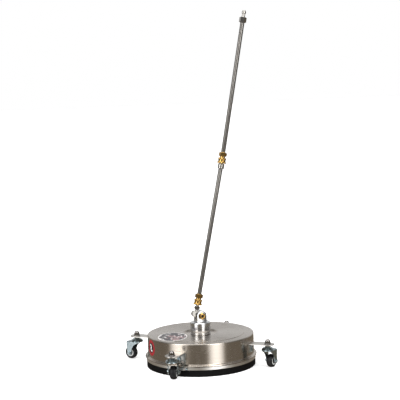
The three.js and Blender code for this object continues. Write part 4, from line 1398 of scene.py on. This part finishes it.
for name in ("rear_right", "front_right", "front_left", "rear_left"):
    out, trail = caster(name)
    print(f"caster {name}: at {out:.0f} degrees, trailing to {trail:.0f}")

# %% [markdown]
# ## Name plate and badge
#
# The deck has a printed oval on its top and a round badge on its wall. Both are thin films stuck on, and
# their print is left plain: bands of colour without words. A film is a small sheet that follows the metal
# under it.

# %% Film prints
def film_finish(name, paint):
    finish = Finish(name, {"Metallic": 0.0, "Specular IOR Level": 0.15})
    wear = finish.noise(finish.place, 160, 4.0)
    tone = paint(finish)
    tone = finish.mix(wear.above(0.66, 0.08) * 0.25, tone, (0.2, 0.19, 0.18))
    return finish.set({"Base Color": tone, "Roughness": 0.4 + wear * 0.2,
                       "Normal": finish.bump(wear, 0.05, 0.1 * mm)})


def film(name, rows, columns, point, finish, body="deck"):
    """A grid of points for the film's face, given a little thickness."""
    vertices = [point(r / rows, c / columns) for r in range(rows + 1) for c in range(columns)]
    faces = [(r * columns + c, r * columns + (c + 1) % columns, (r + 1) * columns + (c + 1) % columns,
              (r + 1) * columns + c) for r in range(rows) for c in range(columns)]
    piece = piece_from(name, vertices, faces, sharp=80)
    step = piece.modifiers.new("thickness", "SOLIDIFY")
    step.thickness = 0.25 * mm
    step.offset = 1
    apply_modifiers(piece)
    piece.data.materials.append(finish)
    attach(piece, body)
    return piece


PLATE_CENTRE = Vector((-123 * mm, -22 * mm, 0))
PLATE_TURN = math.radians(68)
PLATE_LONG, PLATE_SHORT = 70 * mm, 55 * mm


def plate_paint(finish):
    """A dark oval with a pale border and soft blotches of pale and rose print."""
    u, v = finish.x * (1 / PLATE_LONG), finish.y * (1 / PLATE_SHORT)
    squares = u * u + v * v
    spread = squares.math("SQRT", squares)
    streak = finish.noise(finish.vector(finish.x * 30, finish.y * 90, 0.0), 1.0, 3.0)
    tone = finish.mix(streak, (0.03, 0.03, 0.033), (0.11, 0.105, 0.11))
    rose = finish.noise(finish.vector(finish.x * 34 + 3.0, finish.y * 62, 0.4), 1.0, 1.0).above(0.57, 0.05)
    tone = finish.mix(rose * 0.7, tone, (0.3, 0.2, 0.2))
    pale = finish.noise(finish.vector(finish.x * 44, finish.y * 80 + 5.0, 1.7), 1.0, 1.0).above(0.6, 0.035)
    tone = finish.mix(pale * 0.85, tone, (0.5, 0.48, 0.47))
    return finish.mix(spread.above(0.945, 0.012), tone, (0.62, 0.6, 0.58))


def name_plate():
    turn = Matrix.Rotation(PLATE_TURN, 3, "Z")

    def point(r, c):
        angle = 2 * math.pi * c
        spot = turn @ Vector((PLATE_LONG * r * math.cos(angle), PLATE_SHORT * r * math.sin(angle), 0))
        flat = spot + PLATE_CENTRE
        spot.z = deck_height(math.hypot(flat.x, flat.y)) + 0.05 * mm - rim_top
        return turn.inverted() @ spot

    plate_film = film("name_plate_film", 28, 96, point, film_finish("name_plate_print", plate_paint))
    plate_film.matrix_world = Matrix.Translation(PLATE_CENTRE + Vector((0, 0, rim_top))) @ turn.to_4x4()
    return plate_film


def badge_paint(finish):
    """A red ring round a black middle, with two white hooks in it that have no meaning."""
    spread = finish.radius() * (1 / BADGE_RADIUS)
    tone = finish.mix(spread.above(0.64, 0.02), (0.012, 0.012, 0.013), (0.24, 0.01, 0.014))
    for side in (-1, 1):
        u = finish.x * (1 / BADGE_RADIUS) + 0.16 * side
        v = finish.y * (1 / BADGE_RADIUS) - 0.12 * side
        squares = u * u + v * v
        ring = squares.math("SQRT", squares) - 0.24
        hook = 1.0 - ring.math("ABSOLUTE", ring).above(0.07, 0.02)
        opening = (u * side + v * 0.6 * side).above(-0.08, 0.03)
        tone = finish.mix(hook * opening, tone, (0.72, 0.71, 0.69))
    return tone


BADGE_RADIUS = 30 * mm
BADGE_ANGLE = math.radians(181)


def wall_badge():
    drop = 36 * mm
    spot = Matrix.Translation((wall_radius, 0, rim_top - drop))
    there = Matrix.Rotation(BADGE_ANGLE, 4, "Z") @ spot @ ABOUT_X
    face = there @ Matrix.Rotation(math.pi / 2, 4, "Z")

    def point(r, c):
        angle = 2 * math.pi * c
        across, up = BADGE_RADIUS * r * math.cos(angle), BADGE_RADIUS * r * math.sin(angle)
        bend = across / wall_radius
        return (wall_radius * math.sin(bend), up, wall_radius * (math.cos(bend) - 1) + 0.05 * mm)

    badge = film("wall_badge_film", 16, 72, point, film_finish("wall_badge_print", badge_paint))
    badge.matrix_world = face
    return badge


name_plate()
wall_badge()
print("labels: oval", round(2 * PLATE_LONG / mm), "mm long, badge", round(2 * BADGE_RADIUS / mm), "mm across")
